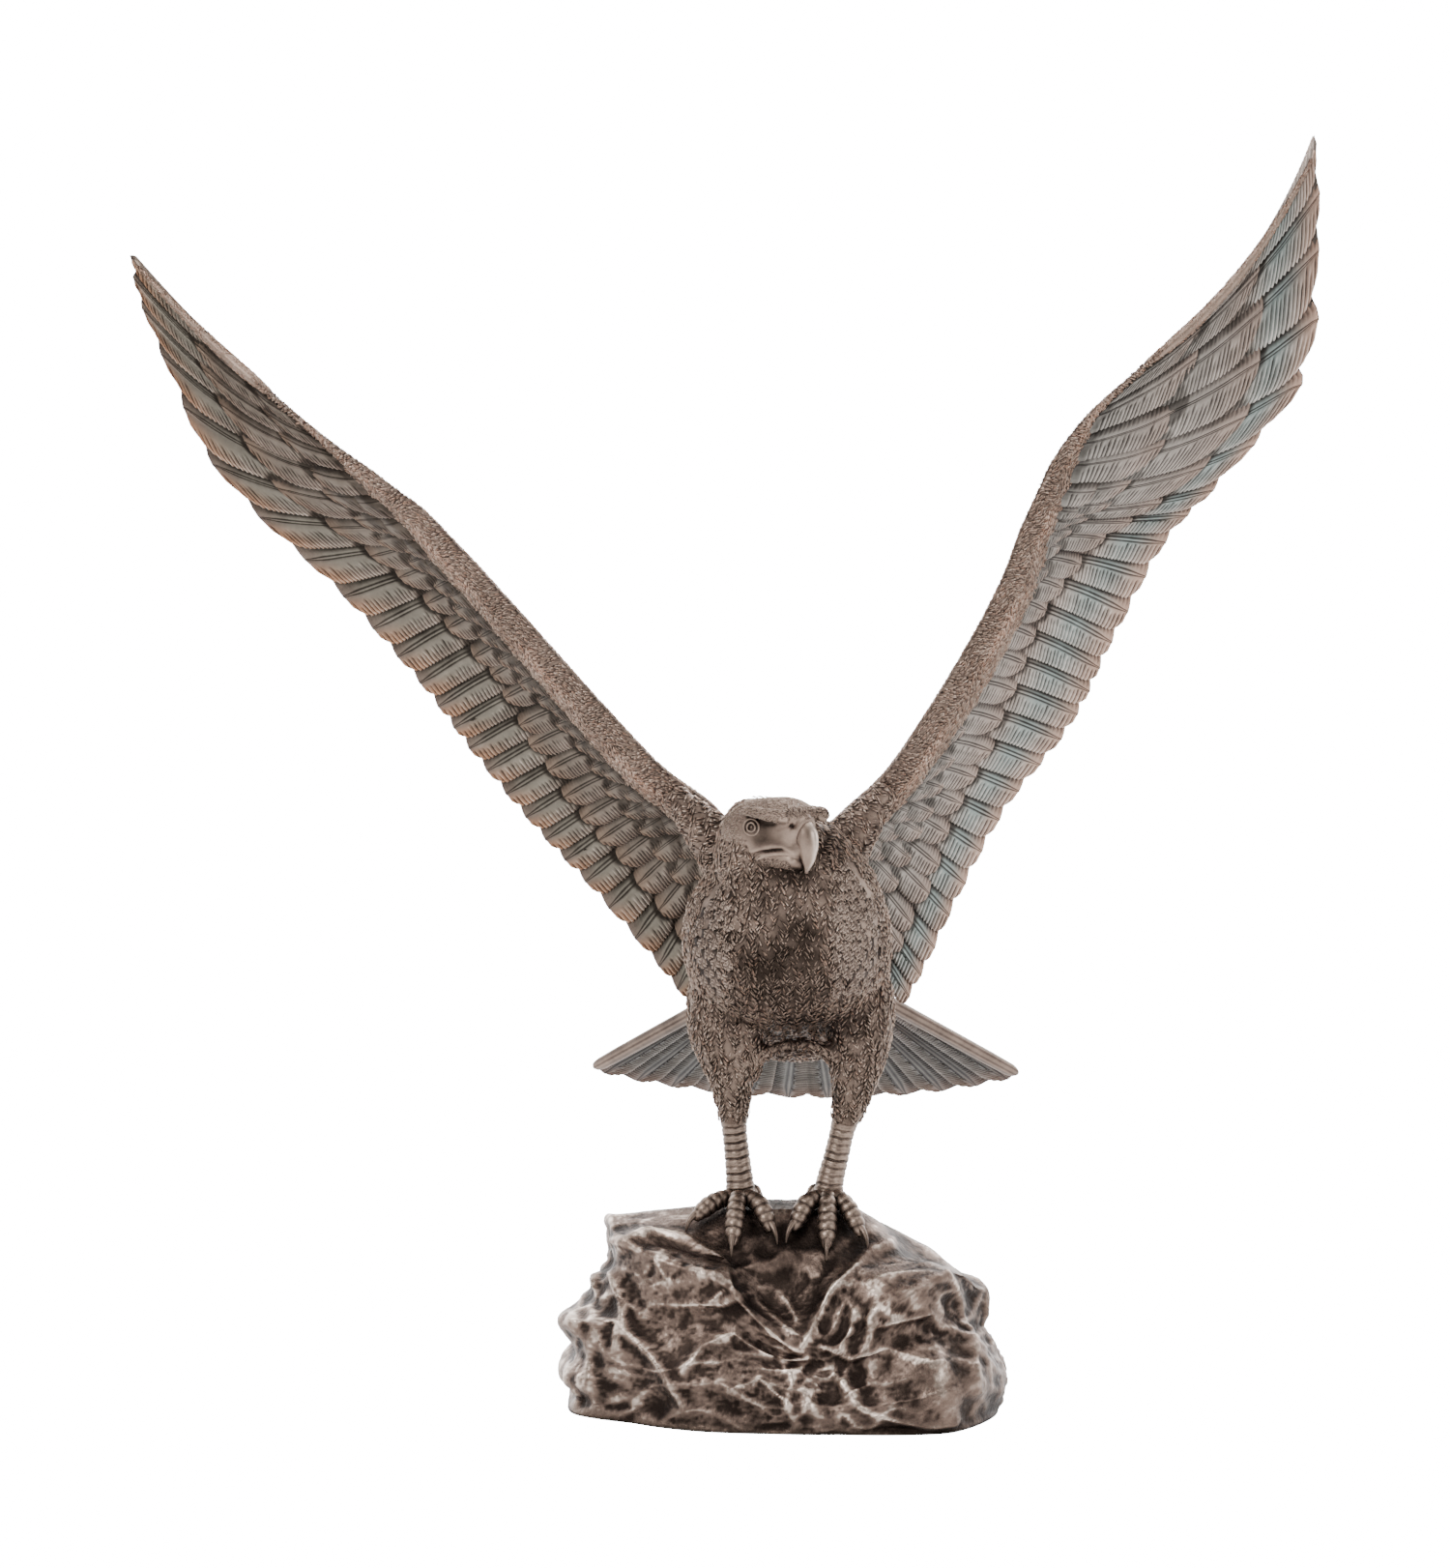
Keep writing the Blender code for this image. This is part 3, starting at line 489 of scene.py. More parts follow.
def wingPlace(wing, f, v, h):
    # f counts feathers from the body out, v runs from the leading edge to the tips, h stands forward
    f, v, h = np.broadcast_arrays(np.asarray(f, float), v, h)
    root, tip, facing, inward = wingFrame(wing, f)
    reach = np.linalg.norm(tip - root, axis=-1)
    numbers, bows = wingForm["quillBow"]
    bow = np.interp(f, (*numbers, 25), (*bows, wing["ribs"][-1][3]))
    inside = np.clip(v, 0, 1)
    bow = bow * 4 * inside * (1 - inside)
    hollow = wingForm["camber"] * reach * np.sin(math.pi * inside) * (1 - 0.8 * smoothStep(16, 22, f))
    return root + (tip - root) * v[..., None] + inward * bow[..., None] + facing * (h - hollow)[..., None]


def armHalf(wing, f, v, reach):
    share = np.clip(v * reach / np.interp(f, *wingForm["armBreadth"]), 0, 1.7)
    front = np.sqrt(np.clip(1 - (np.clip(share, 0, 0.5) * 2 - 1) ** 2, 0, 1))
    swell = np.where(share < 0.5, front, 1 - smoothStep(0.5, 1.6, share))
    half = wingForm["blade"] / 2
    stands = half + (np.interp(f, *wingForm["armRadius"]) - half) * swell
    return stands * np.where(share < 0.5, front, 1.0)


def wingReach(wing, f):
    root, tip, _, _ = wingFrame(wing, np.asarray(f, float))
    return np.linalg.norm(tip - root, axis=-1)


lesserEndsAt = 20  # feathers from the body that carry a row of lesser coverts
backRows = {"greater": ((0, 14, 19, 25), (0.62, 0.55, 0.58, 0.5)),
            "median": ((0, 14, 25), (0.42, 0.36, 0.28))}
featherRows = {
    # how proud the row's plates stand, step from one to the next, thickness and roundness
    "flight": {"lift": 0.95, "step": 1.5, "thick": 0.9, "camber": 0.60, "lip": 0.45, "tipDrop": 0.35,
               "shaftSize": 0.60},
    "greater": {"lift": 1.95, "step": 1.3, "thick": 0.9, "camber": 0.75, "lip": 0.60, "tipDrop": 0.75,
                "shaftSize": 0.46},
    "median": {"lift": 2.95, "step": 1.1, "thick": 0.9, "camber": 0.80, "lip": 0.60, "tipDrop": 1.0,
               "shaftSize": 0.36},
    "lesser": {"lift": 3.55, "step": 1.0, "thick": 0.9, "camber": 0.75, "lip": 0.55, "tipDrop": 1.1,
               "shaftSize": 0.30},
}


def wingTint(wing, row):
    def tint(along, k, shown):
        if wing is rightWing and row == "flight":
            warm = 0.70 * smoothStep(0.45, 1.0, shown) * smoothStep(0.0, 0.8, k)
            cool = 0.45 * smoothStep(-0.1, 0.3, shown) * (1 - smoothStep(0.65, 1.0, shown))
            cool = cool * (1 - 0.7 * smoothStep(0.4, 0.9, k))
        elif wing is rightWing:
            warm, cool = 0.20 * smoothStep(0.6, 1.0, shown) + 0 * k, 0.22 * (1 - smoothStep(0.3, 0.9, k))
        elif row == "flight":
            warm = 0.65 * smoothStep(0.6, 1.0, shown) + 0.12 + 0 * k
            cool = 0.85 * bell((shown - 0.55) / 0.25) * (1 - 0.3 * np.abs(k))
        else:
            warm, cool = 0.2 * smoothStep(0.5, 1.0, shown) + 0 * k, 0.35 * (1 - shown) + 0 * k
        return np.clip(warm, 0, 1), np.clip(cool, 0, 1)
    return tint


def wingFeathers(wing, row, numbers, front):
    chance = np.random.default_rng(wing["seed"] + len(row) * 7 + (0 if front else 5))
    side = 1.0 if front else -1.0
    made = []
    for n in numbers:
        middle = min(n + 0.5, 24.9)
        reach = float(wingReach(wing, middle))
        spacing = float(np.linalg.norm(wingPlace(wing, n + 1.0, 0.7, 0.0) - wingPlace(wing, n, 0.7, 0.0)))
        hand = float(smoothStep(16.5, 20.5, n))
        greater = float(np.interp(middle, *(wing["greater"] if front else backRows["greater"])))
        median = float(np.interp(middle, *(wing["median"] if front else backRows["median"])))
        notch = float(np.interp(middle, *wing["notches"]))
        drift = 0.0 if row == "flight" else chance.uniform(-0.015, 0.015)
        emerge = 0.98 * float(np.interp(middle, *wingForm["armBreadth"])) / reach
        lesserEnd = emerge + (median - emerge) * 0.55
        rounding = {"greater": 6.0 + 8 * hand, "median": 5.0 + 3 * hand, "lesser": 4.2}
        hasLesser = front and n < lesserEndsAt and median - emerge > 0.10
        coverEnd = {"flight": greater, "greater": median, "median": lesserEnd if hasLesser else emerge,
                    "lesser": emerge}[row]
        above = {"flight": "greater", "greater": "median", "median": "lesser" if hasLesser else None}.get(row)
        if row == "flight":
            start, end, seen = 0.08, 1 + 0.40 * notch / reach, greater - rounding["greater"] / reach - 0.02
            rounded, fall = 0.55 * notch + 3.5 + 5 * hand, notch / reach
        elif row == "greater":
            start, end, seen = 0.06, greater + drift, median - rounding["median"] / reach - 0.02
            rounded, fall = rounding["greater"], 0.035
        elif row == "median":
            start, end = 0.04, median + drift
            seen = (lesserEnd - rounding["lesser"] / reach if hasLesser else emerge) - 0.02
            rounded, fall = rounding["median"], 0.03
        else:
            if not hasLesser:
                continue
            start, end, seen = 0.03, lesserEnd + drift, emerge - 0.04
            rounded, fall = rounding["lesser"], 0.03
        seen = min(max(seen, start + 0.02), end - 0.12)
        length = reach * (end - start)
        shift = {"flight": 0.0, "greater": 0.0, "median": 0.45, "lesser": 0.1}[row] * (1 - hand)
        shift = shift + (0.0 if row == "flight" else chance.uniform(-0.1, 0.1))
        thin = 1 - 0.40 * float(smoothStep(19, 25, n))
        look = {
            **featherRows[row], "start": start, "end": end, "seen": seen, "length": length,
            "width": spacing * 1.3,
            "low": max(n - 0.10 + shift, 0.0), "high": min(n + 1.32 + shift, 25.0),
            "shaftAt": min(n + 0.68 + shift, 24.85), "tipAt": min(n + 0.60 + 0.15 * hand + shift, 24.8),
            "roundFrom": 1 - min(rounded / length, 0.6), "blunt": 2.4 if row == "flight" else 2.0,
            "notch": fall,
            "free": row != "flight" and hand < 0.5, "vaneShade": wing["vaneShade"],
            "pitch": wing["pitch"] * (1.0 if row == "flight" else 0.9) * (1 + 0.4 * hand)
                * (1.0 if front else 1.6), "plain": not front,
            "slant": wing["slant"] * (1.0 if row == "flight" else 0.7),
            "barbFrom": wing["barbFrom"] if row == "flight" else min(wing["barbFrom"], 0.3),
            "barbDepth": wing["barbDepth"] * (1.0 if row == "flight" else 0.8),
            "upperBarbs": wing["upperBarbs"], "streak": wing["streak"], "base": wing["base"][row],
            # the next lines set the painted shadows under the next feather's edge and under the coverts' tips
            "lapFrom": 0.59 if row == "flight" else 0.64,
            "lapShade": wing["lapShade"] if n < 24 else 0.0,
            "coverShadowFloor": wing["coverShadowFloor"]
                + {"flight": 0.0, "greater": 0.12, "median": 0.38, "lesser": 0.42}[row],
            "rootSink": {"flight": 0.5, "greater": 1.1, "median": 2.0, "lesser": 2.7}[row], "riseBy": 3.0,
            "coverShade": {"flight": 2.6, "greater": 2.2, "median": 1.8, "lesser": 2.0}[row],
            "tint": wingTint(wing, row),
            "coverEnd": coverEnd, "coverRound": rounding[above] * 0.9 if above else 0.0,
            "coverTip": 0.60 + 0.15 * hand + (0.45 * (1 - hand) if above == "median" else 0.0),
            "rim": 0.35 if n >= 24 else 0.0,
        }
        for key in ("step", "lift", "thick"):
            look[key] = look[key] * thin
        if not front:
            look["lift"] *= 0.8

        def place(a, b, h):
            return wingPlace(wing, a, b, side * h)

        made.append(featherPlate(place, look, chance))
    return made


def armParts(wing):
    # the rounded arm from the leading edge back under the coverts, front and back
    f = np.linspace(0, 25, 150)
    reach = wingReach(wing, f)
    last = np.minimum(1.55 * np.interp(f, *wingForm["armBreadth"]) / reach, 0.9)
    shares = np.concatenate([[0.0], 0.5 * (1 - np.cos(np.linspace(0.12, 1.0, 15) * math.pi))])
    v = last[:, None] * shares[None, :]
    half = armHalf(wing, f[:, None], v, reach[:, None])
    front = wingPlace(wing, f[:, None], v, half)
    back = wingPlace(wing, f[:, None], v[:, ::-1][:, :-1], -half[:, ::-1][:, :-1])
    loop = np.concatenate([front, back], 1)
    rows, columns = loop.shape[:2]
    points = loop.reshape(-1, 3)
    centres = np.stack([loop[0].mean(0), loop[-1].mean(0)])
    points = np.concatenate([points, centres])
    return shellPart(points, gridQuads(rows, columns, True), endCaps(rows, columns), 0.28)


# the arm's crest is painted lighter, a painted highlight with wear; one stroke in ten gets a painted glint
downLook = {"long": 3.3, "wide": 0.74, "tall": 0.36, "spacing": 0.66, "shade": 0.95, "worn": 0.40,
            "glint": 0.45}


def armStrokes(wing, front):
    chance = np.random.default_rng(wing["seed"] + (3 if front else 9))
    f, v = [], []
    at = 0.0
    while at < 24.9:
        reach = float(wingReach(wing, at))
        line = 1.08 * float(np.interp(at, *wingForm["armBreadth"])) / reach
        gap = float(np.linalg.norm(wingPlace(wing, at + 0.1, 0.1, 0) - wingPlace(wing, at, 0.1, 0))) / 0.1
        count = max(int(line * reach / downLook["spacing"] * (1.0 if front else 0.7)), 2)
        here = (np.arange(count) + chance.uniform(0, 1)) / count * line
        f.append(np.full(count, at) + chance.uniform(-0.4, 0.4, count) * 2.0 / gap)
        v.append(here + chance.uniform(-0.3, 0.3, count) * line / count)
        at += 0.95 / gap
    f = np.clip(np.concatenate(f), 0.02, 24.95)
    v = np.clip(np.concatenate(v), 0.004, 1)
    reach = wingReach(wing, f)
    side = 1.0 if front else -1.0

    def skin(f, v):
        return wingPlace(wing, f, v, side * armHalf(wing, f, v, reach))

    centre = skin(f, v)
    span = unitRows(skin(np.clip(f + 0.05, 0, 25), v) - skin(np.clip(f - 0.05, 0, 25), v))
    chord = skin(f, v + 0.004) - skin(f, np.maximum(v - 0.004, 0))
    chord = unitRows(chord - span * (chord * span).sum(-1, keepdims=True))
    normal = np.cross(span, chord)
    normal = normal * np.sign((normal * wingFrame(wing, f)[2]).sum(-1, keepdims=True)) * side
    across = v * reach / np.interp(f, *wingForm["armBreadth"])
    turn = np.where(across < 0.40, 0.70, -0.15) + 0.45 * np.sin(f * 2.6 + across * 5)
    turn = turn + chance.uniform(-0.25, 0.25, len(f))
    ahead = span * np.cos(turn)[:, None] + chord * np.sin(turn)[:, None]
    part = strokeParts(centre, ahead, normal, downLook, chance)
    # painted highlight with wear along the crest, and painted glints on one stroke in ten
    crest = bell((across - 0.50) / 0.17) * (0.45 + 0.55 * np.sin(f * 1.3 + wing["seed"]))
    worn = downLook["worn"] * crest + downLook["glint"] * (chance.uniform(0, 1, len(f)) < 0.10)
    part["relief"] = np.clip(part["relief"] * (1 + np.repeat(worn, 4)), 0, 1)
    part["warm"] = np.repeat(np.clip(0.35 * crest + chance.normal(0.1, 0.15, len(f)), 0, 0.6), 4)
    return part


handLook = {
    "feather": 24.62, "stand": 0.3, "rows": 90, "sides": 20, "strokes": 1500,
    "half": ((0.02, 0.15, 0.45, 0.8, 0.95, 0.975), (1.1, 1.9, 1.7, 1.0, 0.5, 0.25)),
    "stroke": {**downLook, "long": 2.4, "wide": 0.46, "tall": 0.22, "shade": 1.2},
}


def handEdge(wing):
    # the rounded leading edge of the hand, down to the tip, with its own strokes
    chance = np.random.default_rng(wing["seed"] + 15)
    at, stand, knots = handLook["feather"], handLook["stand"], handLook["half"]
    along = np.linspace(knots[0][0], knots[0][-1], handLook["rows"])
    facing = wingFrame(wing, np.array([at]))[2][0]
    half = np.interp(along, *knots)
    tube = loftPart(wingPlace(wing, at, along, stand), half, half * 0.9, facing, handLook["sides"], 0.40)
    v = chance.uniform(0.03, 0.96, handLook["strokes"])
    around = chance.uniform(-math.pi, math.pi, len(v))
    centre = wingPlace(wing, at, v, stand)
    ahead = unitRows(wingPlace(wing, at, v + 0.01, stand) - centre)
    outward = unitRows(facing - ahead * (ahead @ facing)[:, None])
    beside = np.cross(ahead, outward)
    normal = outward * np.cos(around)[:, None] + beside * np.sin(around)[:, None]
    lean = np.cross(ahead, normal) * (0.5 * np.sin(v * 70 + around * 2)
                                      + chance.uniform(-0.2, 0.2, len(v)))[:, None]
    centre = centre + normal * (0.93 * np.interp(v, *knots))[:, None]
    part = strokeParts(centre, unitRows(ahead + lean), normal, handLook["stroke"], chance)
    part["warm"] = np.repeat(np.clip(chance.normal(0.32, 0.15, len(v)), 0, 0.7), 4)
    return [tube, part]


def buildWing(name, wing):
    flights = range(25)
    feathers = wingFeathers(wing, "flight", flights, True) + wingFeathers(wing, "greater", flights, True)
    piece = makePiece(name + "_feathers", feathers, materials[wing["finish"]])
    coverts = wingFeathers(wing, "median", range(24), True)
    coverts += wingFeathers(wing, "lesser", range(lesserEndsAt), True)
    covers = makePiece(name + "_coverts", coverts, materials[wing["finish"]])
    backs = wingFeathers(wing, "flight", flights, False) + wingFeathers(wing, "greater", flights, False)
    backs += wingFeathers(wing, "median", range(24), False)
    behind = makePiece(name + "_back", backs, materials[wing["finish"]])
    armSkins = [armParts(wing), armStrokes(wing, True), armStrokes(wing, False)] + handEdge(wing)
    arm = makePiece(name + "_arm", armSkins, materials["down"])
    return [piece, covers, behind, arm]


# lofted forms

def densePath(rings, count):
    # rings of (centre, half width, half depth) as one smooth run of values
    table = np.array([[*centre, wide, deep] for centre, wide, deep in rings], float)
    steps = np.linalg.norm(np.diff(table[:, :3], axis=0), axis=1)
    knots = np.concatenate([[0], np.cumsum(np.maximum(steps, 0.5))])
    at = np.linspace(0, knots[-1], count)
    return curveThrough(knots, table, at), at / knots[-1]


def loftPart(centres, wide, deep, wideAxis, sides, relief=0.5, squareness=2.0, swell=None):
    centres = np.asarray(centres, float)
    along = unitRows(np.gradient(centres, axis=0))
    axis = np.broadcast_to(np.asarray(wideAxis, float), along.shape)
    across = unitRows(axis - along * (axis * along).sum(1, keepdims=True))
    depth = np.cross(along, across)
    turn = 2 * math.pi * np.arange(sides) / sides
    c, s = np.cos(turn), np.sin(turn)
    if squareness != 2.0:
        c, s = np.sign(c) * np.abs(c) ** (2 / squareness), np.sign(s) * np.abs(s) ** (2 / squareness)
    more = 1.0 if swell is None else swell
    ring = (
        centres[:, None]
        + across[:, None] * (np.asarray(wide)[:, None] * c * more)[..., None]
        + depth[:, None] * (np.asarray(deep)[:, None] * s * more)[..., None]
    )
    rows = len(centres)
    points = np.concatenate([ring.reshape(-1, 3), centres[[0, -1]]])
    shade = np.broadcast_to(relief, (rows, sides)).ravel()
    shade = np.concatenate([shade, shade[[0, -1]]])
    return shellPart(points, gridQuads(rows, sides, True), endCaps(rows, sides), shade)


def turnedPart(centre, axis, profile, sides, relief):
    # profile is (radius, height along the axis), from the hidden end to the crown
    profile = np.array(profile, float)
    axis = np.asarray(axis, float)
    centres = np.asarray(centre) + axis * profile[:, 1:]
    helper = np.array([0.0, 0.0, 1.0]) if abs(axis[2]) < 0.9 else np.array([1.0, 0.0, 0.0])
    across = unitRows(np.cross(axis, helper)[None])[0]
    depth = np.cross(axis, across)
    turn = 2 * math.pi * np.arange(sides) / sides
    ring = centres[:, None] + profile[:, :1,
                                      None] * (np.cos(turn)[:, None] * across + np.sin(turn)[:, None] * depth)
    rows = len(profile)
    points = np.concatenate([ring.reshape(-1, 3), centres[[0, -1]]])
    shade = np.repeat(np.asarray(relief, float), sides)
    shade = np.concatenate([shade, shade[[0, -1]]])
    return shellPart(points, gridQuads(rows, sides, True), endCaps(rows, sides), shade)


wings = buildWing("right_wing", rightWing) + buildWing("left_wing", leftWing)
print("eagle: wings are feathered")

# body and thighs, melted into one skin under the down

torsoForm = [
    ((8, 66, 46), 9, 3), ((7, 58, 49), 16, 7), ((6, 48, 53), 21, 12), ((5, 35, 58), 25.5, 18.5),
    ((4, 20, 65.5), 29, 19), ((2, 6, 75), 31, 24), ((1, -8, 85.5), 31.5, 29), ((0, -15, 98), 28, 25),
    ((-2, -19, 107.5), 22, 19.5), ((-4.5, -21.5, 114), 17, 15), ((-6, -23.5, 120), 13, 12),
    ((-6, -25, 125), 8, 8),
]
legForms = {
    "right": [
        ((-14, 8, 76), 10, 11), ((-16.5, 4, 64), 12.5, 14), ((-16.5, 0, 50), 11.2, 12.5),
        ((-16, -3, 40), 6.9, 8.8),
        ((-15.2, -3, 31), 5, 6), ((-15, -2, 25), 4, 4.5), ((-14, -3, 15), 3.9, 4.1),
        ((-13.2, -4, 7), 4.3, 4.5),
        ((-13, -4.5, 3.4), 4.6, 4.6),
    ],
    "left": [
        ((19, 8, 76), 9, 11), ((22.5, 4, 64), 11.5, 14), ((23.2, 0, 50), 9.6, 12.5), ((22.2, -3, 40), 7, 8.8),
        ((20.4, -3, 31), 5.2, 6), ((18.8, -2, 25), 4, 4.5), ((16.4, -3, 15), 3.9, 4.1),
        ((14.4, -4, 7), 4.3, 4.5),
        ((14, -4.5, 3.4), 4.6, 4.6),
    ],
}
headForm = {"at": (-5.0, -29.0, 118.0), "turn": 52.0, "nod": 6.0}
skullForm = [
    (-13.5, -4.5, 3.5, 3.5), (-11.5, -3.8, 7.0, 6.6), (-7.5, -2.6, 9.4, 8.8), (-2.5, -1.2, 10.2, 9.4),
    (3.0, -0.4, 10.0, 9.0), (8.0, -0.6, 8.4, 8.4), (11.0, -1.0, 6.4, 7.2), (12.8, -1.4, 4.8, 5.4),
]
crownForm = [
    (-9.5, 1.0, 5.5, 4.4), (-5.0, 2.6, 8.4, 5.4), (0.5, 3.9, 9.8, 5.8), (6.0, 4.6, 10.2, 5.9),
    (10.0, 5.4, 9.2, 4.4),
    (12.4, 6.0, 7.2, 2.6), (13.4, 6.0, 5.0, 1.2),
]
browForm = [(-4.0, 5.4, 8.4, 1.2), (0.0, 5.8, 10.0, 1.8), (5.0, 5.9, 10.6, 2.0), (10.0, 6.1, 10.0, 2.0),
            (13.5, 6.2, 8.3, 2.2), (15.0, 6.0, 7.2, 1.9)]
turned, nodded = math.radians(headForm["turn"]), math.radians(headForm["nod"])
headAhead = np.array([math.sin(turned) * math.cos(nodded), -math.cos(turned) * math.cos(nodded),
                      -math.sin(nodded)])
headSide = np.array([math.cos(turned), math.sin(turned), 0.0])
headAbove = np.cross(headAhead, headSide)


def headPlace(forward, up, out=0.0):
    forward, up, out = np.broadcast_arrays(np.asarray(forward, float), up, out)
    return (
        np.array(headForm["at"]) + headAhead * forward[..., None] + headAbove * up[..., None]
        + headSide * out[..., None]
    )


def headRings(rings):
    return [(tuple(headPlace(f, u)), wide, high) for f, u, wide, high in rings]


def loftRings(rings, count, axis, sides, relief=0.5, squareness=2.0):
    table, _ = densePath(rings, count)
    return loftPart(table[:, :3], table[:, 3], table[:, 4], axis, sides, relief, squareness)


def meltedSkin(name, parts, melt):
    # one skin over the overlapping parts, as the sculptor's clay was: points, faces, normals
    clay = makePiece(name, parts, materials["down"])
    remesh = clay.modifiers.new("melt", "REMESH")
    remesh.mode = "VOXEL"
    remesh.voxel_size = melt["voxel"]
    soften = clay.modifiers.new("soften", "SMOOTH")
    soften.iterations = melt["smoothing"]
    soften.factor = 0.5
    mesh = bpy.data.meshes.new_from_object(clay.evaluated_get(bpy.context.evaluated_depsgraph_get()))
    bpy.data.objects.remove(clay)
    points = np.empty(len(mesh.vertices) * 3)
    mesh.vertices.foreach_get("co", points)
    normals = np.empty(len(mesh.vertices) * 3)
    mesh.vertices.foreach_get("normal", normals)
    faces = [tuple(p.vertices) for p in mesh.polygons]
    bpy.data.meshes.remove(mesh)
    points = points.reshape(-1, 3)
    points[:, 2] -= stance["perchHeight"]
    return points / unit, normals.reshape(-1, 3), faces


def facesOf(points, faces):
    # middle and normal of each face
    quads = np.array([f if len(f) == 4 else (*f, f[-1]) for f in faces])
    corners = points[quads]
    normal = unitRows(np.cross(corners[:, 2] - corners[:, 0], corners[:, 3] - corners[:, 1]))
    return corners.mean(1), normal


def polylineDistance(points, line):
    # distance to the line and how far along it, 0 to 1
    line = np.asarray(line, float)
    best = np.full(len(points), 1e9)
    share = np.zeros(len(points))
    for n, (p, q) in enumerate(zip(line, line[1:])):
        d = q - p
        t = np.clip(((points - p) @ d) / (d @ d), 0, 1)
        away = np.linalg.norm(points - p - t[:, None] * d, axis=1)
        share = np.where(away < best, (n + t) / (len(line) - 1), share)
        best = np.minimum(best, away)
    return best, share


def splitFaces(faces):
    return [f for f in faces if len(f) == 4], [f for f in faces if len(f) == 3]


bodyParts = [loftRings(torsoForm, 90, (1, 0, 0), 64)]
bodyParts.append(loftRings([((-6, -22, 110), 15.5, 14), ((-6, -25, 117), 13.2, 12.5),
                            ((-7, -26, 123), 9, 8.5)], 14, (1, 0, 0), 32))
for side, rings in legForms.items():
    bodyParts.append(loftRings(rings[:6], 50, (1, 0, 0), 40))
shoulderForm = [
    [((-7, 0, 98), 13, 12.5), ((-15, 0, 106), 9.5, 10), ((-22, 0, 114), 7, 7.5), ((-28.5, 0, 121), 5, 5.2),
     ((-34, 0, 127.5), 3.4, 3.4)],
    [((7, 0, 98), 13, 12.5), ((14.5, 0, 106), 9.5, 10), ((21, 0, 114), 7, 7.5), ((27, 0, 122), 5, 5.2),
     ((32, 0, 129), 3.4, 3.4)],
]
bodyParts += [loftRings(rings, 40, (0, 1, 0), 32) for rings in shoulderForm]
bellyRim = [(-9, -3, 40), (-7, -6, 46), (-2, -8, 49.5), (4.3, -8.5, 50.5), (10.5, -8, 49.5), (15, -6, 46),
            (17, -3, 40)]
bodyParts.append(loftRings([(p, 1.9, 1.9) for p in bellyRim], 40, (0, 1, 0.2), 16))
bodyMelt = {"voxel": 0.00115, "smoothing": 8}
skinPoints, _, skinFaces = meltedSkin("body", bodyParts, bodyMelt)
skinCentres, skinFacing = facesOf(skinPoints, skinFaces)
if ((skinFacing * (skinCentres - skinCentres.mean(0))).sum(1)).mean() < 0:
    skinFacing = -skinFacing
skinTree = BVHTree.FromPolygons([tuple(p) for p in skinPoints], skinFaces)

skinLook = {
    "seed": 5, "share": 0.84, "base": 0.29, "clearOfHead": 9.5, "lowest": 27,
    "strokes": {"long": 3.4, "wide": 0.72, "tall": 0.38, "shade": 1.16, "sink": 0.10},
}


def downDirection(at, normal, chance):
    # the lie of the feathers: down the breast and the back, in lanes that lean left and right by turns
    down = np.broadcast_to(np.array([0.0, 0.15, -1.0]), at.shape).copy()
    behind = smoothStep(5, 30, at[:, 1])
    down[:, 1] += behind * 0.9
    high = smoothStep(100, 112, at[:, 2]) * smoothStep(8, 16, np.abs(at[:, 0]))
    down[:, 0] += np.sign(at[:, 0]) * high * 1.4
    lane = np.floor((at[:, 0] + 200) / 2.3 + np.sin(at[:, 2] * 0.25) * 0.5).astype(int)
    sway = np.where(lane % 2 == 0, 1.0, -1.0) * 0.55 + chance.uniform(-0.3, 0.3, len(at))
    lie = unitRows(down - normal * (down * normal).sum(1, keepdims=True))
    across = np.cross(normal, lie)
    return lie * np.cos(sway)[:, None] + across * np.sin(sway)[:, None]


shadeAndSootSpots = [  # painted shade under the chin and the breast, and soot in unworn hollows: place, size, depth
    ((-2, -44, 79), (15, 7), 0.80), ((6, -44, 88), (9, 5), 0.65), ((-16, -40, 82), (8, 7), 0.35),
    ((4, -34, 70), (20, 7), 0.50),
    ((8, -30, 58), (14, 5), 0.65), ((-14, -34, 62), (5, 6), 0.45), ((2, -44, 105.5), (9, 3.5), 0.75),
    ((-8, -44, 98), (7, 7), 0.35),
    ((14, -36, 113), (8, 6), 0.55), ((13, -40, 101), (5, 6), 0.35), ((-12, -36, 98), (4, 6), 0.25),
    ((1, -30, 50), (9, 5), 0.55),
]


def shadeAndSoot(at):
    dark = np.zeros(len(at))
    for centre, (wide, high), much in shadeAndSootSpots:
        away = ((at[:, 0] - centre[0]) / wide) ** 2 + ((at[:, 2] - centre[2]) / high) ** 2
        dark = np.maximum(dark, much * np.exp(-away) * (at[:, 1] < 8))
    # a lighter patch on the left side of the breast
    worn = np.exp(-(((at[:, 0] - 20) / 11) ** 2) - ((at[:, 2] - 92) / 20) ** 2) * (at[:, 1] < 8)
    return dark - 0.26 * worn


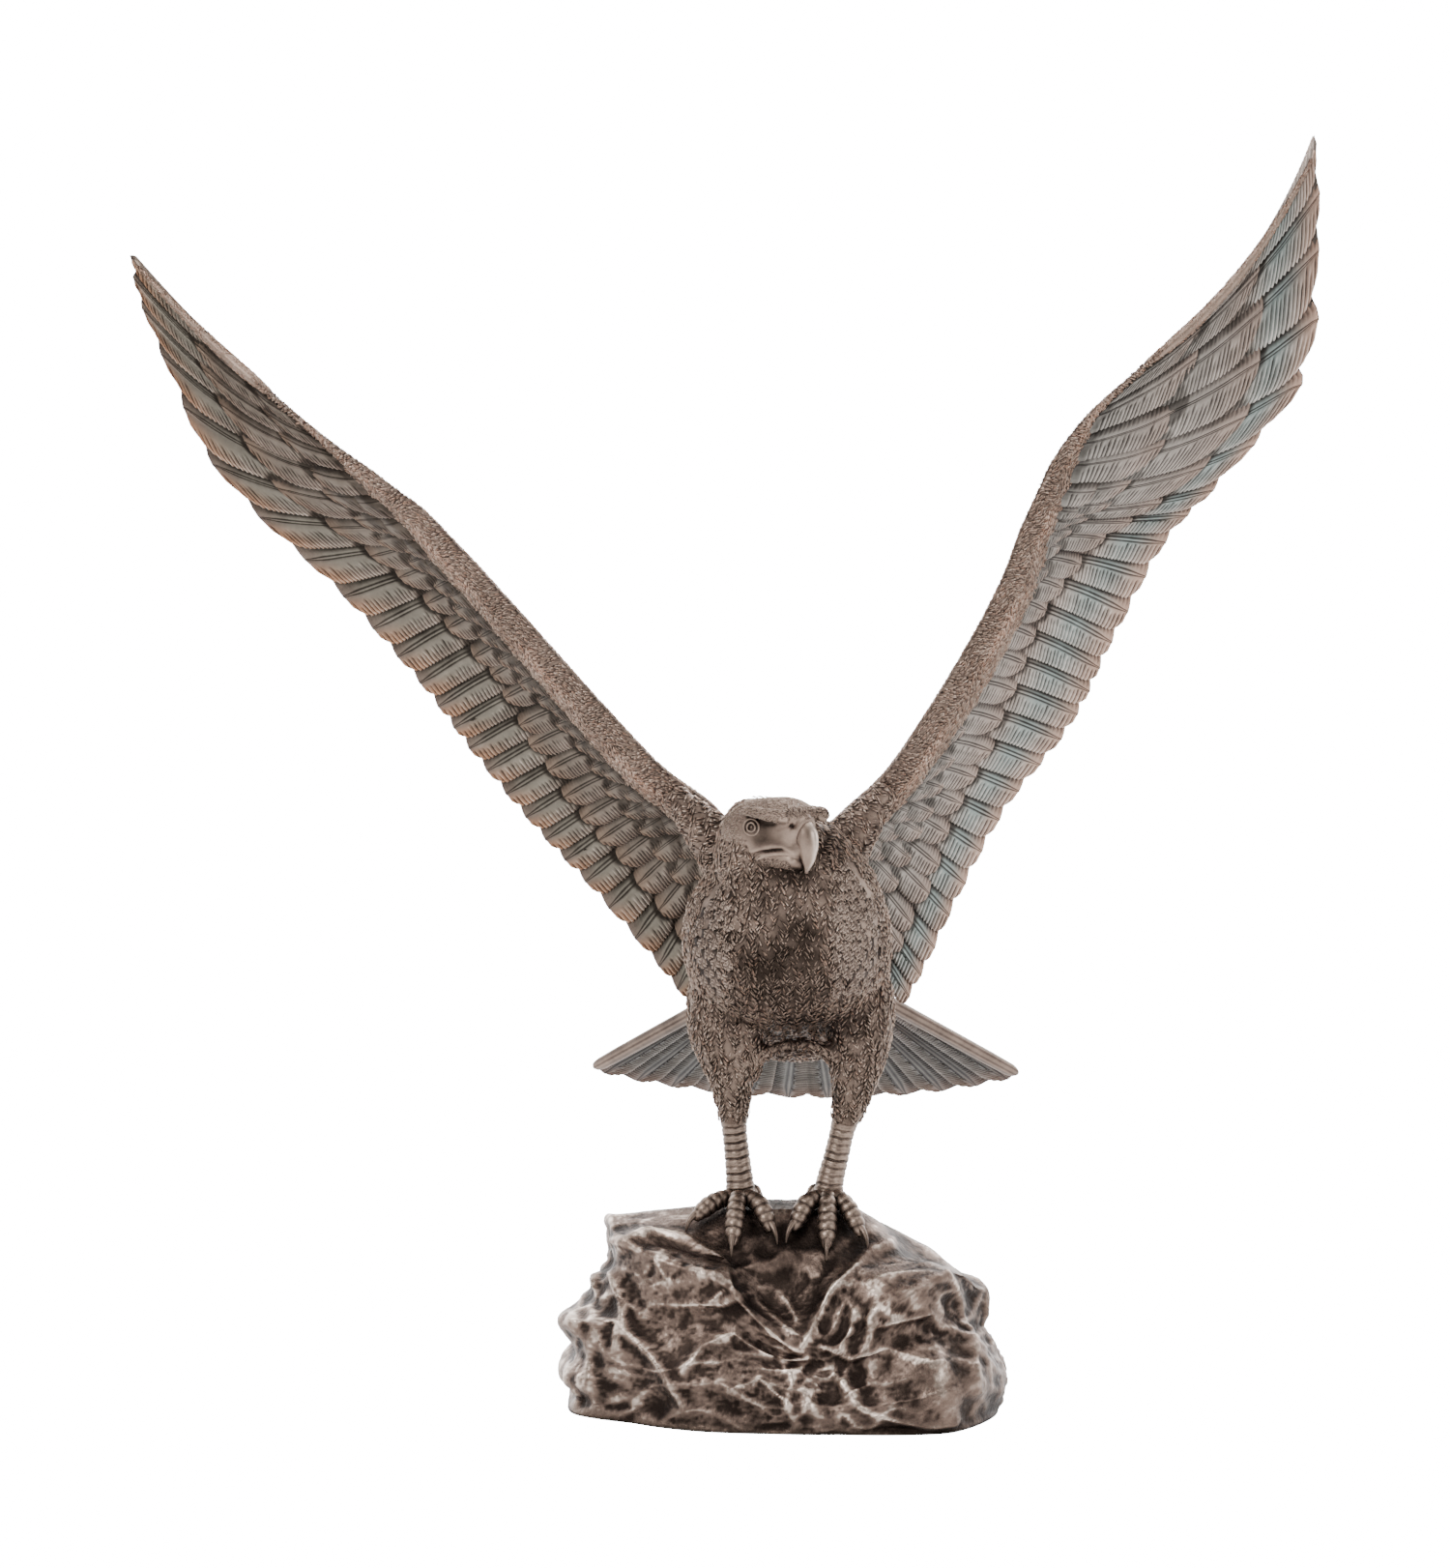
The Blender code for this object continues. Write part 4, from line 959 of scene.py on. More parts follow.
def bodyStrokes():
    chance = np.random.default_rng(skinLook["seed"])
    inHead = np.linalg.norm(skinCentres - headPlace(0.0, 0.0), axis=1) < skinLook["clearOfHead"]
    mask = (chance.uniform(0, 1, len(skinCentres)) < skinLook["share"]) & ~inHead
    mask = mask & (skinCentres[:, 2] > skinLook["lowest"])
    x, z = skinCentres[:, 0], skinCentres[:, 2]
    rightScales = (x < -19.5) & (z > 66) & (z < 104)
    leftScales = (x > 16.5 + 2.4 * np.sin((z - 70) / 3 * 1.3)) & (z > 72) & (z < 108)
    scaled = (skinFacing[:, 1] < -0.45) & (np.abs(x - 0.5) < 29) & (rightScales | leftScales)
    mask = mask & ~scaled
    centres = skinCentres[mask] + chance.uniform(-0.5, 0.5, (mask.sum(), 3))
    normal = skinFacing[mask]
    part = strokeParts(centres, downDirection(centres, normal, chance), normal, skinLook["strokes"], chance)
    part["relief"] = np.clip(part["relief"] * (1 - 0.9 * np.repeat(shadeAndSoot(centres), 4)), 0, 1)
    part["warm"] = np.repeat(np.clip(chance.normal(0.0, 0.15, mask.sum()), 0, 0.35), 4)
    return part


rimGlow = 0.5 * bell(polylineDistance(skinPoints, bellyRim)[0] / 2.2)
skinShade = np.clip(skinLook["base"] - 0.5 * shadeAndSoot(skinPoints) + rimGlow, 0.04, 1)
skin = makePiece("body", [shellPart(skinPoints, *splitFaces(skinFaces), skinShade)], materials["down"])
bodyDown = makePiece("body_down", [bodyStrokes()], materials["down"])

# rounded scale feathers on the shoulders and the sides of the breast
scaleRows = {
    # across and up in the bird's own millimetres, on the right and the left side of the breast
    "right": [(x + 2.0 * (n % 2), z) for n,
              z in enumerate(np.arange(64, 108, 3.0)) for x in np.arange(-30.5, -18, 4.0)],
    "left": [(x + 2.0 * (n % 2), z) for n,
             z in enumerate(np.arange(70, 112, 3.0)) for x in np.arange(15, 30, 4.0)],
}


scaleStroke = {"long": 2.5, "wide": 0.58, "tall": 0.26, "shade": 1.15, "sink": 0.15}


def scaleParts():
    chance = np.random.default_rng(17)
    made = []
    for side, spots in scaleRows.items():
        for n, (x, z) in enumerate(spots):
            x = x + chance.uniform(-0.3, 0.3)
            z = z + chance.uniform(-0.25, 0.25)
            hit = skinTree.ray_cast(Vector((x, -90, z)), Vector((0, 1, 0)))
            if hit[0] is None or hit[0][1] > 2:
                continue
            centre, normal = np.array(hit[0]), np.array(hit[1])
            if normal[1] > 0:
                normal = -normal
            lie = np.array([0.25 * np.sign(x), 0.35, -1.0])
            lie = unitRows((lie - normal * (lie @ normal))[None])[0]
            across = np.cross(normal, lie)
            wide, long = 5.4 * chance.uniform(0.92, 1.08), 7.0 * chance.uniform(0.92, 1.08)

            def place(a, b, h):
                a, b, h = np.broadcast_arrays(np.asarray(a, float), b, h)
                x, y = (a - 0.5) * wide, (b - 0.5) * long
                sag = x**2 / 52.0 + y**2 / 90.0
                return centre + across * x[..., None] + lie * y[..., None] + normal * (h - sag)[..., None]

            made.append(featherPlate(place, {
                "start": 0.0, "end": 1.0, "seen": 0.42, "length": long, "width": wide, "low": 0.0,
                "high": 1.0,
                "shaftAt": 0.5, "tipAt": 0.5, "roundFrom": 0.35, "blunt": 2.0, "notch": 0.0, "free": True,
                "lift": -0.15, "step": 0.0, "camber": 0.22, "lip": 0.1, "tipDrop": -0.60, "thick": 1.0,
                "shaftSize": 0.20,
                "pitch": 1.05, "slant": 1.6, "barbFrom": 0.1, "barbDepth": 0.22, "upperBarbs": 1.0,
                "streak": 0.04,
                "base": 0.44, "lapFrom": 2.0, "vaneShade": 0.0, "lapShade": 0.0, "coverShadowFloor": 0.12,
                "rootSink": 0.0, "riseBy": 3.0, "coverShade": 0.9, "coverEnd": 0.56, "coverRound": 2.0,
                "coverTip": 0.13, "coverEvery": 0.74, "tint": lambda along, k, shown: (0 * k, 0.1 + 0 * k),
            }, chance))
            a, b = np.meshgrid((0.2, 0.4, 0.6, 0.8), (0.55, 0.72, 0.88))
            a, b = a.ravel() + chance.uniform(-0.05, 0.05, 12), b.ravel() + chance.uniform(-0.04, 0.04, 12)
            kept = np.abs(a - 0.5) < 0.42 * np.sqrt(np.clip(1 - ((b - 0.35) / 0.65) ** 2, 0, 1))
            a, b = a[kept], b[kept]
            fan = lie + across * ((a - 0.5) * 0.9)[:, None]
            rise = -0.15 + 0.22 * np.sin(math.pi * a) + 0.60 * smoothStep(0.55, 1.0, b)
            facing = np.broadcast_to(normal, (len(a), 3))
            made.append(strokeParts(place(a, b, rise), fan, facing, scaleStroke, chance))
    return made


scales = makePiece("breast_scales", scaleParts(), materials["down"])


# head: skull and brow melted together, then beak, cere and eye

headMelt = {"voxel": 0.00046, "smoothing": 5}
beakForm = [
    (9.5, 1.6, 3.8, 4.2), (12.0, 1.4, 3.8, 4.5), (14.0, 0.2, 3.6, 4.2), (15.2, -1.9, 3.3, 3.5),
    (15.5, -4.4, 2.8, 3.1),
    (15.9, -6.9, 2.1, 2.2), (15.9, -9.2, 1.1, 1.0), (15.5, -10.9, 0.3, 0.3),
]
gape = [(1.3, -7.3, 8.6), (4.9, -5.8, 8.2), (8.0, -4.9, 7.2), (10.2, -4.6, 6.2), (12.2, -5.3, 5.2),
        (13.4, -6.3, 4.6)]
cereForm = [(7.0, 0.2, 7.4, 6.2), (10.5, 1.0, 6.0, 5.9), (13.0, 1.5, 5.0, 5.3), (14.3, 1.2, 4.5, 4.8)]
jawForm = [
    (-2.0, -6.6, 8.2, 4.4), (4.0, -7.6, 7.4, 3.8), (9.0, -7.6, 5.6, 3.2), (12.6, -8.0, 4.2, 2.4),
    (14.8, -8.5, 2.2, 1.3),
]
mouthForm = [(8.0, -3.2, 6.2, 3.6), (12.0, -3.6, 4.9, 3.4), (14.0, -4.0, 3.6, 3.2), (15.2, -4.6, 2.8, 2.7)]
headParts = [
    loftRings(headRings(skullForm), 40, headSide, 48),
    loftRings(headRings(crownForm), 40, headSide, 48, 0.5, 2.6),
    loftRings(headRings(cereForm), 20, headSide, 36),
    loftRings(headRings(jawForm), 24, headSide, 32),
    loftRings([((-6, -23, 111), 13, 11), ((-6, -27, 116), 10.5, 9.5)], 10, (1, 0, 0), 32),
    loftRings(headRings(mouthForm), 20, headSide, 32),
]
for sign in (-1, 1):
    brow = browForm if sign > 0 else browForm[:-1]
    rings = [(tuple(headPlace(f, u, sign * o)), r, r) for f, u, o, r in brow]
    headParts.append(loftRings(rings, 40, headSide, 20))
headPoints, headNormals, headFaces = meltedSkin("head", headParts, headMelt)


def headLine(spots, sign):
    return polylineDistance(headPoints, [headPlace(f, u, sign * o) for f, u, o in spots])


carving = np.zeros(len(headPoints))
headShade = np.full(len(headPoints), 0.34)
for sign in (-1, 1):
    # hollow under the brow, deepest ahead of the eye
    away, share = headLine([(0.5, 4.1, 10.2), (4.5, 3.7, 10.4), (8.6, 3.9, 9.0), (11.6, 5.2, 7.0)], sign)
    reach = 0.8 + 0.9 * np.sin(math.pi * np.clip(share * 0.9 + 0.1, 0.05, 0.95))
    carving -= 1.4 * bell(away / reach)
    # the hollow under the brow is painted darker: painted shade with the patina of the hollow
    headShade -= 0.42 * bell(away / (reach * 1.1)) * smoothStep(0.0, 0.3, share)
    away, share = headLine([(f, u - 0.2, o + r) for f, u, o, r in browForm], sign)  # brow
    headShade += 0.22 * bell(away / 1.0) * smoothStep(0.1, 0.4, share)
    away, _ = headLine(gape, sign)
    carving -= 1.1 * bell(away / 0.55) - 0.55 * bell((away - 1.3) / 0.6)
    headShade -= 0.6 * bell(away / 0.6) - 0.22 * bell((away - 1.3) / 0.6)
    away, _ = headLine([(4.0, -2.4, 10.0), (10.0, -2.0, 6.4)], sign)  # lore
    carving -= 0.6 * bell(away / 2.2)
    headShade -= 0.14 * bell(away / 3.0)
    dip, _ = headLine([(1.0, 1.5, 9.8), (5.5, 1.0, 9.4)], sign)  # round the eye
    carving -= 0.5 * bell(dip / 3.0)
    headShade -= 0.10 * bell(dip / 3.2)
    cheek, _ = headLine([(13.0, 4.0, 4.0), (11.5, -1.0, 5.4)], sign)
    headShade += 0.14 * bell(cheek / 2.0)
    away, _ = headLine([(11.2, 3.0, 5.4), (12.6, 3.4, 4.9)], sign)  # nostril
    carving -= 0.9 * bell(away / 0.5)
    headShade -= 0.6 * bell(away / 0.7)
headPoints = headPoints + headNormals * carving[:, None]
# painted shadow under the chin
chin = polylineDistance(headPoints, [headPlace(6.0, -11.0), headPlace(14.0, -11.0)])[0]
headShade -= 0.35 * bell(chin / 3.5)
headCentres, headFacing = facesOf(headPoints, headFaces)
if ((headFacing * (headCentres - headCentres.mean(0))).sum(1)).mean() < 0:
    headFacing = -headFacing
headSkin = makePiece("head", [shellPart(headPoints, *splitFaces(headFaces), np.clip(headShade, 0.04, 1))],
                     materials["down"])

eyeForm = {"at": (1.0, 1.5), "out": 9.3, "skinOut": 9.6, "bare": 4.4}
headLook = {"seed": 9, "share": 0.52,
            "strokes": {"long": 2.2, "wide": 0.52, "tall": 0.20, "shade": 0.90, "sink": 0.06}}


def headStrokes():
    # fine strokes swept back from the beak; the face round the eye and the gape stays smooth
    chance = np.random.default_rng(headLook["seed"])
    off = headCentres - headPlace(0.0, 0.0)
    forward, up, out = off @ headAhead, off @ headAbove, np.abs(off @ headSide)
    face = (forward > -0.5) & (up < 4.4) & (up > -7.6)
    for sign in (1, -1):
        eye = headPlace(*eyeForm["at"], sign * eyeForm["skinOut"])
        face = face | (np.linalg.norm(headCentres - eye, axis=1) < eyeForm["bare"])
    front = (forward > 12.0) & (up < 6.0)
    mask = (chance.uniform(0, 1, len(headCentres)) < headLook["share"]) & ~face & ~front
    centres, normal = headCentres[mask], headFacing[mask]
    lie = -headAhead - headAbove * (0.35 + 0.5 * (up[mask] < -3))[:, None] + 0 * centres
    lie = lie + chance.normal(0, 0.14, lie.shape)
    return strokeParts(centres, lie, normal, headLook["strokes"], chance)


headDown = makePiece("head_down", [headStrokes()], materials["down"])


def beakParts():
    sides = 36
    # lighter along the beak's top and underside ridges: painted highlight together with wear
    shade = np.clip(0.44 + 0.38 * np.abs(np.sin(2 * math.pi * np.arange(sides) / sides)) ** 6, 0, 1)
    made = [loftRings(headRings(beakForm), 60, headSide, sides, shade)]
    for sign in (-1, 1):
        eye = headPlace(*eyeForm["at"], sign * eyeForm["out"])
        axis = unitRows((headSide * sign + headAhead * 0.22)[None])[0]
        profile = [
            (2.9, -2.2), (2.9, 0.1), (2.7, 0.55), (2.4, 0.65), (2.15, 0.35), (1.95, 0.05), (1.8, 0.1),
            (1.65, 0.6),
            (1.4, 0.85), (1.15, 0.8), (1.0, 0.35), (0.8, 0.1), (0.55, 0.35), (0.3, 0.5), (0.05, 0.52),
        ]
        made.append(turnedPart(eye, axis, profile, 36, [
            0.2, 0.3, 0.50, 0.52, 0.22, 0.08, 0.08, 0.35, 0.55, 0.5, 0.10, 0.04, 0.12, 0.3, 0.32,
        ]))
    return made


head = makePiece("beak_and_eyes", beakParts(), materials["horn"])

# legs and feet

rockForm = {
    "width": 0.134, "depth": 0.101, "height": 0.062,
    # azimuth; foot reach; crest reach and height; hollow reach and height; perch reach
    "ribs": [
        (-180, 0.99, 0.79, 0.95, 0.67, 0.960, 0.30), (-160, 1.02, 0.81, 0.88, 0.65, 0.905, 0.30),
        (-140, 0.90, 0.78, 0.81, 0.61, 0.806, 0.28), (-115, 0.90, 0.76, 0.75, 0.52, 0.750, 0.21),
        (-95, 0.88, 0.74, 0.53, 0.51, 0.726, 0.16), (-75, 0.93, 0.80, 0.40, 0.53, 0.710, 0.16),
        (-50, 1.14, 0.93, 0.68, 0.59, 0.726, 0.25), (-30, 1.06, 0.88, 0.74, 0.64, 0.785, 0.32),
        (-5, 0.99, 0.93, 0.57, 0.66, 0.770, 0.32), (20, 1.03, 0.93, 0.57, 0.65, 0.750, 0.30),
        (50, 1.05, 0.87, 0.66, 0.66, 0.800, 0.28), (90, 1.00, 0.85, 0.78, 0.64, 0.850, 0.22),
        (130, 1.08, 0.92, 0.76, 0.72, 0.870, 0.22), (160, 1.03, 0.86, 0.88, 0.72, 0.920, 0.26),
    ],
    "flank": [(0.0, 0.0), (0.10, -0.04), (0.30, -0.10), (0.48, 0.35), (0.68, 0.97), (1.0, 1.0)],
}
footForm = {
    "right": {"at": (-13.0, -4.5), "toes": [(-58, 15), (-8, 16.5), (34, 15), (150, 9)]},
    "left": {"at": (14.0, -4.5), "toes": [(-42, 15), (-3, 16.5), (36, 15), (210, 9)]},
    "radius": 2.8, "claw": 6.0,
}


def rockRib(azimuth):
    table = np.array(rockForm["ribs"] + [(180, *rockForm["ribs"][0][1:])], float)
    azimuth = (np.asarray(azimuth, float) + 180) % 360 - 180
    return [np.interp(azimuth, table[:, 0], table[:, k]) for k in range(1, table.shape[1])]


def rockTop(x, y):
    # height of the plain rock's top under a place in plan, in metres
    a, b = x / (rockForm["width"] / 2), y / (rockForm["depth"] / 2)
    share = np.hypot(a, b)
    _, crest, crestHigh, hollow, hollowHigh, perch = rockRib(np.degrees(np.arctan2(b, a)))
    return float(np.interp(share, (0, perch, hollow, crest),
                           (1, 1, hollowHigh, crestHigh))) * rockForm["height"]


def toeParts(foot, heading, length):
    turn = math.radians(heading)
    claw = footForm["claw"] / length
    shares = [-0.12, 0.12, 0.38, 0.68, 0.90, 1.0, 1.07]
    radii = [0.95, 1.0, 0.98, 1.04, 0.98, 0.80, 0.30]

    def plan(share):
        out = length * share
        return foot[0] + math.sin(turn) * out, foot[1] - math.cos(turn) * out

    def rest(share):
        near = [rockTop(plan(share + off)[0] * unit, plan(share + off)[1] * unit)
                for off in (-0.16, -0.08, 0, 0.08)]
        return (max(near) - stance["perchHeight"]) / unit + 0.3

    rings = [((*plan(s), rest(s) + footForm["radius"] * r), footForm["radius"] * r,
              footForm["radius"] * r * 0.96)
             for s, r in zip(shares, radii)]
    across = (math.cos(turn), math.sin(turn), 0.0)
    count = max(int(length * 3.6), 40)
    table, at = densePath(rings, count)
    beat = (at * length * 1.15 / 2.15) % 1.0
    ridge = np.abs(np.sin(math.pi * beat)) ** 0.6
    swell = 1 + 0.16 * (ridge - 0.7)
    sides = 20
    # the top of each toe is lighter and the underside darker: painted light and shade, with wear on the top
    upper = 0.5 + 0.5 * np.sin(2 * math.pi * (np.arange(sides)) / sides)
    toe = loftPart(table[:, :3], table[:, 3] * swell, table[:, 4] * swell, across, sides,
                   np.clip(0.02 + 0.52 * ridge, 0, 1)[:, None] * (0.40 + 0.60 * upper))
    high = rest(1.0) + footForm["radius"]
    talon = [((*plan(0.92), high - 0.4), 1.3, 1.4), ((*plan(0.92 + 0.35 * claw), high - 0.2), 1.15, 1.25),
             ((*plan(0.92 + 0.62 * claw), high - 1.2), 0.95, 1.0),
             ((*plan(0.92 + 0.82 * claw), high - 2.6), 0.7, 0.75),
             ((*plan(0.92 + 0.95 * claw), high - 4.4), 0.45, 0.5),
             ((*plan(0.92 + 1.0 * claw), high - 6.2), 0.14, 0.14)]
    table, at = densePath(talon, 22)
    worn = np.clip(0.45 - 0.30 * at, 0, 1)[:, None]
    nail = loftPart(table[:, :3], table[:, 3], table[:, 4], across, 14, worn)
    return [toe, nail]


def legParts(side):
    rings = legForms[side][4:]
    table, at = densePath(rings, 150)
    chance = np.random.default_rng(41 if side == "right" else 43)
    length = abs(rings[0][0][2] - rings[-1][0][2])
    cuts = np.cumsum(chance.uniform(0.8, 1.25, 40) * 2.3)
    sides = 40
    turn = 2 * math.pi * np.arange(sides) / sides
    skew = 0.5 * np.sin(turn + 0.6) + 0.25 * np.sin(turn * 3)
    toCuts = np.abs((at[:, None] * length + skew[None, :])[..., None] - cuts + 1.0)
    gap, nearest = toCuts.min(-1), toCuts.argmin(-1)
    fade = smoothStep(0.12, 0.3, at)[:, None]
    cut = bell(gap / 0.34) * fade * chance.uniform(0.35, 1.0, 40)[nearest]
    lip = bell((gap - 0.75) / 0.35) * fade
    swell = 1 - 0.085 * cut + 0.02 * lip
    fine = chance.uniform(-0.09, 0.09, gap.shape)
    relief = np.clip(0.38 - 0.34 * cut + 0.12 * lip + fine - 0.06 * (1 - fade), 0.02, 1)
    seam = bell((np.cos(turn) - 0.45) / 0.10) * (np.sin(turn) < 0)
    swell = swell * (1 - 0.05 * seam[None, :])
    relief = relief * (1 - 0.6 * seam[None, :])
    made = [loftPart(table[:, :3], table[:, 3], table[:, 4], (1, 0, 0), sides, relief, swell=swell)]
    for heading, size in footForm[side]["toes"]:
        made += toeParts(footForm[side]["at"], heading, size)
    return made


legs = makePiece("legs_and_feet", legParts("right") + legParts("left"), materials["horn"])

# tail

tailForm = {"feathers": 12, "length": 92.0, "halfSpread": 50.0, "drop": 28.0, "roll": 2.0, "aside": 0.04,
            "root": (6.5, 44, 60.5), "arch": 3.5, "rootHalf": 23.0, "notch": 0.045}
tailDrop, tailRoll, tailHalf = (math.radians(tailForm[k]) for k in ("drop", "roll", "halfSpread"))
tailBack = unitRows(np.array([[tailForm["aside"], math.cos(tailDrop), -math.sin(tailDrop)]]))[0]
tailSide = np.array([math.cos(tailRoll), 0.0, -math.sin(tailRoll)])
tailSide = unitRows((tailSide - tailBack * (tailSide @ tailBack))[None])[0]
tailAbove = np.cross(tailSide, tailBack)


def tailPlace(a, b, h):
    a, b, h = np.broadcast_arrays(np.asarray(a, float), b, h)
    turn = tailHalf * (2 * a / tailForm["feathers"] - 1)
    spread = turn / tailHalf
    root = tailSide * (tailForm["rootHalf"] * spread)[..., None]
    tip = tailForm["length"] * (tailBack * np.cos(turn)[..., None] + tailSide * np.sin(turn)[..., None])
    lift = h - tailForm["arch"] * spread**2 * b
    start = np.array(tailForm["root"]) + root * (1 - b[..., None])
    return start + tip * b[..., None] + tailAbove * lift[..., None]


def tailTint(along, k, shown):
    warm = 0.35 * smoothStep(0.75, 1.0, shown) + 0.1 + 0 * k
    cool = 0.5 * smoothStep(0.1, 0.5, shown) * (1 - smoothStep(0.8, 1.0, shown)) + 0 * k
    return warm, cool


def tailFeathers(under):
    chance = np.random.default_rng(31 if under else 37)
    count = tailForm["feathers"]
    made = []
    for n in range(count):
        left = n >= count / 2
        low, high = (n - 0.08, n + 1.3) if left else (n + 1.08, n - 0.3)
        low, high = float(np.clip(low, 0, count)), float(np.clip(high, 0, count))
        shaftAt = n + 0.55
        look = {
            "start": 0.10, "end": 1 + tailForm["notch"] * 0.6, "seen": 0.12,
            "length": tailForm["length"] * 0.95,
            "width": 9.0, "low": low, "high": high, "shaftAt": shaftAt, "tipAt": n + 0.5, "roundFrom": 0.90,
            "blunt": 2.2, "notch": 0.035, "free": False, "upperBarbs": 0.9, "streak": 0.06, "base": 0.48,
            "lapFrom": 0.56, "vaneShade": 0.3, "lapShade": 0.85, "coverShadowFloor": 0.2, "rootSink": 0.0, "riseBy": 3.0,
            "lift": 0.5, "step": 1.1, "camber": 0.5, "lip": 0.25, "tipDrop": 0.1, "thick": 0.8,
            "shaftSize": 0.60, "pitch": 1.7 if under else 3.2, "plain": not under, "slant": 5.0,
            "barbFrom": 0.18, "barbDepth": 0.60,
            "coverShade": 8.0, "tint": tailTint,
        }
        sign = -1.0 if under else 1.0

        def place(a, b, h):
            return tailPlace(a, b, sign * h)

        made.append(featherPlate(place, look, chance))
    return made


def tailSpar(a):
    # the smooth bar at the edge of the fan, with chased lines along it
    along = np.linspace(0.1, 1.015, 60)
    centres = tailPlace(a, along, 0.1)
    half = np.interp(along, (0.1, 0.8, 0.96, 0.995, 1.015), (2.8, 2.7, 2.5, 2.0, 0.9))
    sides = 24
    lines = np.sin(np.arange(sides) * 2.4)
    return loftPart(centres, half * 0.75, half, tailAbove, sides, 0.26 + 0.12 * lines, swell=1 + 0.05 * lines)


tail = makePiece("tail", tailFeathers(True) + tailFeathers(False), materials["tailFeathers"])
tailEdges = makePiece("tail_edges", [tailSpar(0.13), tailSpar(11.87)], materials["down"])

# rock

rockLook = {
    "around": 300, "crowd": 24.0, "flankRows": 116, "topRows": 60,
    "bend": 0.55, "bendScale": 26.0, "fold": 0.0021, "foldScale": 30.0, "crease": 0.0011, "creaseScale": 62.0,
    "lump": 0.0016, "lumpScale": 42.0, "pit": 0.0005, "pitScale": 240.0, "streak": 0.00045,
    "streakScale": 105.0,
    # knobs and notches of the left flank: height, tall, wide in degrees, how far out
    "nose": [(0.45, 0.09, 16, 0.115), (0.63, 0.07, 18, 0.080), (0.27, 0.055, 34, -0.080),
             (0.07, 0.04, 30, -0.070)],
}
# ridges of the front, across and up in millimetres: points, width, height
rockRidges = [
    ([(-57, 51), (-41, 55), (-28, 52), (-20, 47), (-12, 38), (-3, 30), (4, 25)], 2.6, 3.4),
    ([(4, 25), (9, 34), (18, 41), (28, 50), (38, 55), (46, 57)], 2.4, 3.0),
    ([(46, 57), (49, 46), (54, 36), (57, 24), (59, 10)], 2.6, 3.0),
    ([(-64, 28), (-52, 30), (-44, 24), (-36, 17), (-30, 6)], 2.2, 2.4),
    ([(-30, 18), (-24, 26), (-14, 29), (-4, 23), (6, 22)], 1.6, 1.8),
    ([(10, 25), (20, 20), (32, 23), (46, 20)], 1.8, 2.0),
    ([(14, 16), (22, 8), (34, 4), (50, 1.5)], 2.0, 2.4),
    ([(-56, 44), (-49, 34), (-52, 22)], 1.8, 1.6),
    ([(-22, 38), (-14, 46), (-2, 50), (12, 50)], 1.6, 1.5),
    ([(-16, 12), (-8, 16), (0, 11), (4, 4)], 1.5, 1.4),
    ([(22, 34), (30, 30), (42, 34)], 1.5, 1.4),
]
rockHollows = [  # across, up, wide, high, depth in millimetres
    (0, 42, 13, 7, 2.4), (-8, 25, 8, 5, 1.2), (38, 13, 8, 5, 1.8), (-44, 13, 6, 4, 1.2),
    (24, 28, 9, 4, 1.2), (-26, 40, 9, 7, -1.6),
    (-52, 10, 8, 3, 1.0), (12, 12, 6, 5, 1.0), (30, 42, 9, 6, -1.2),
]


def rockNoise(points, scale, seed):
    shift = Vector((seed * 3.7, seed * 1.3, seed * 5.1))
    return np.array([noise.noise(Vector(p) * scale + shift) for p in points])


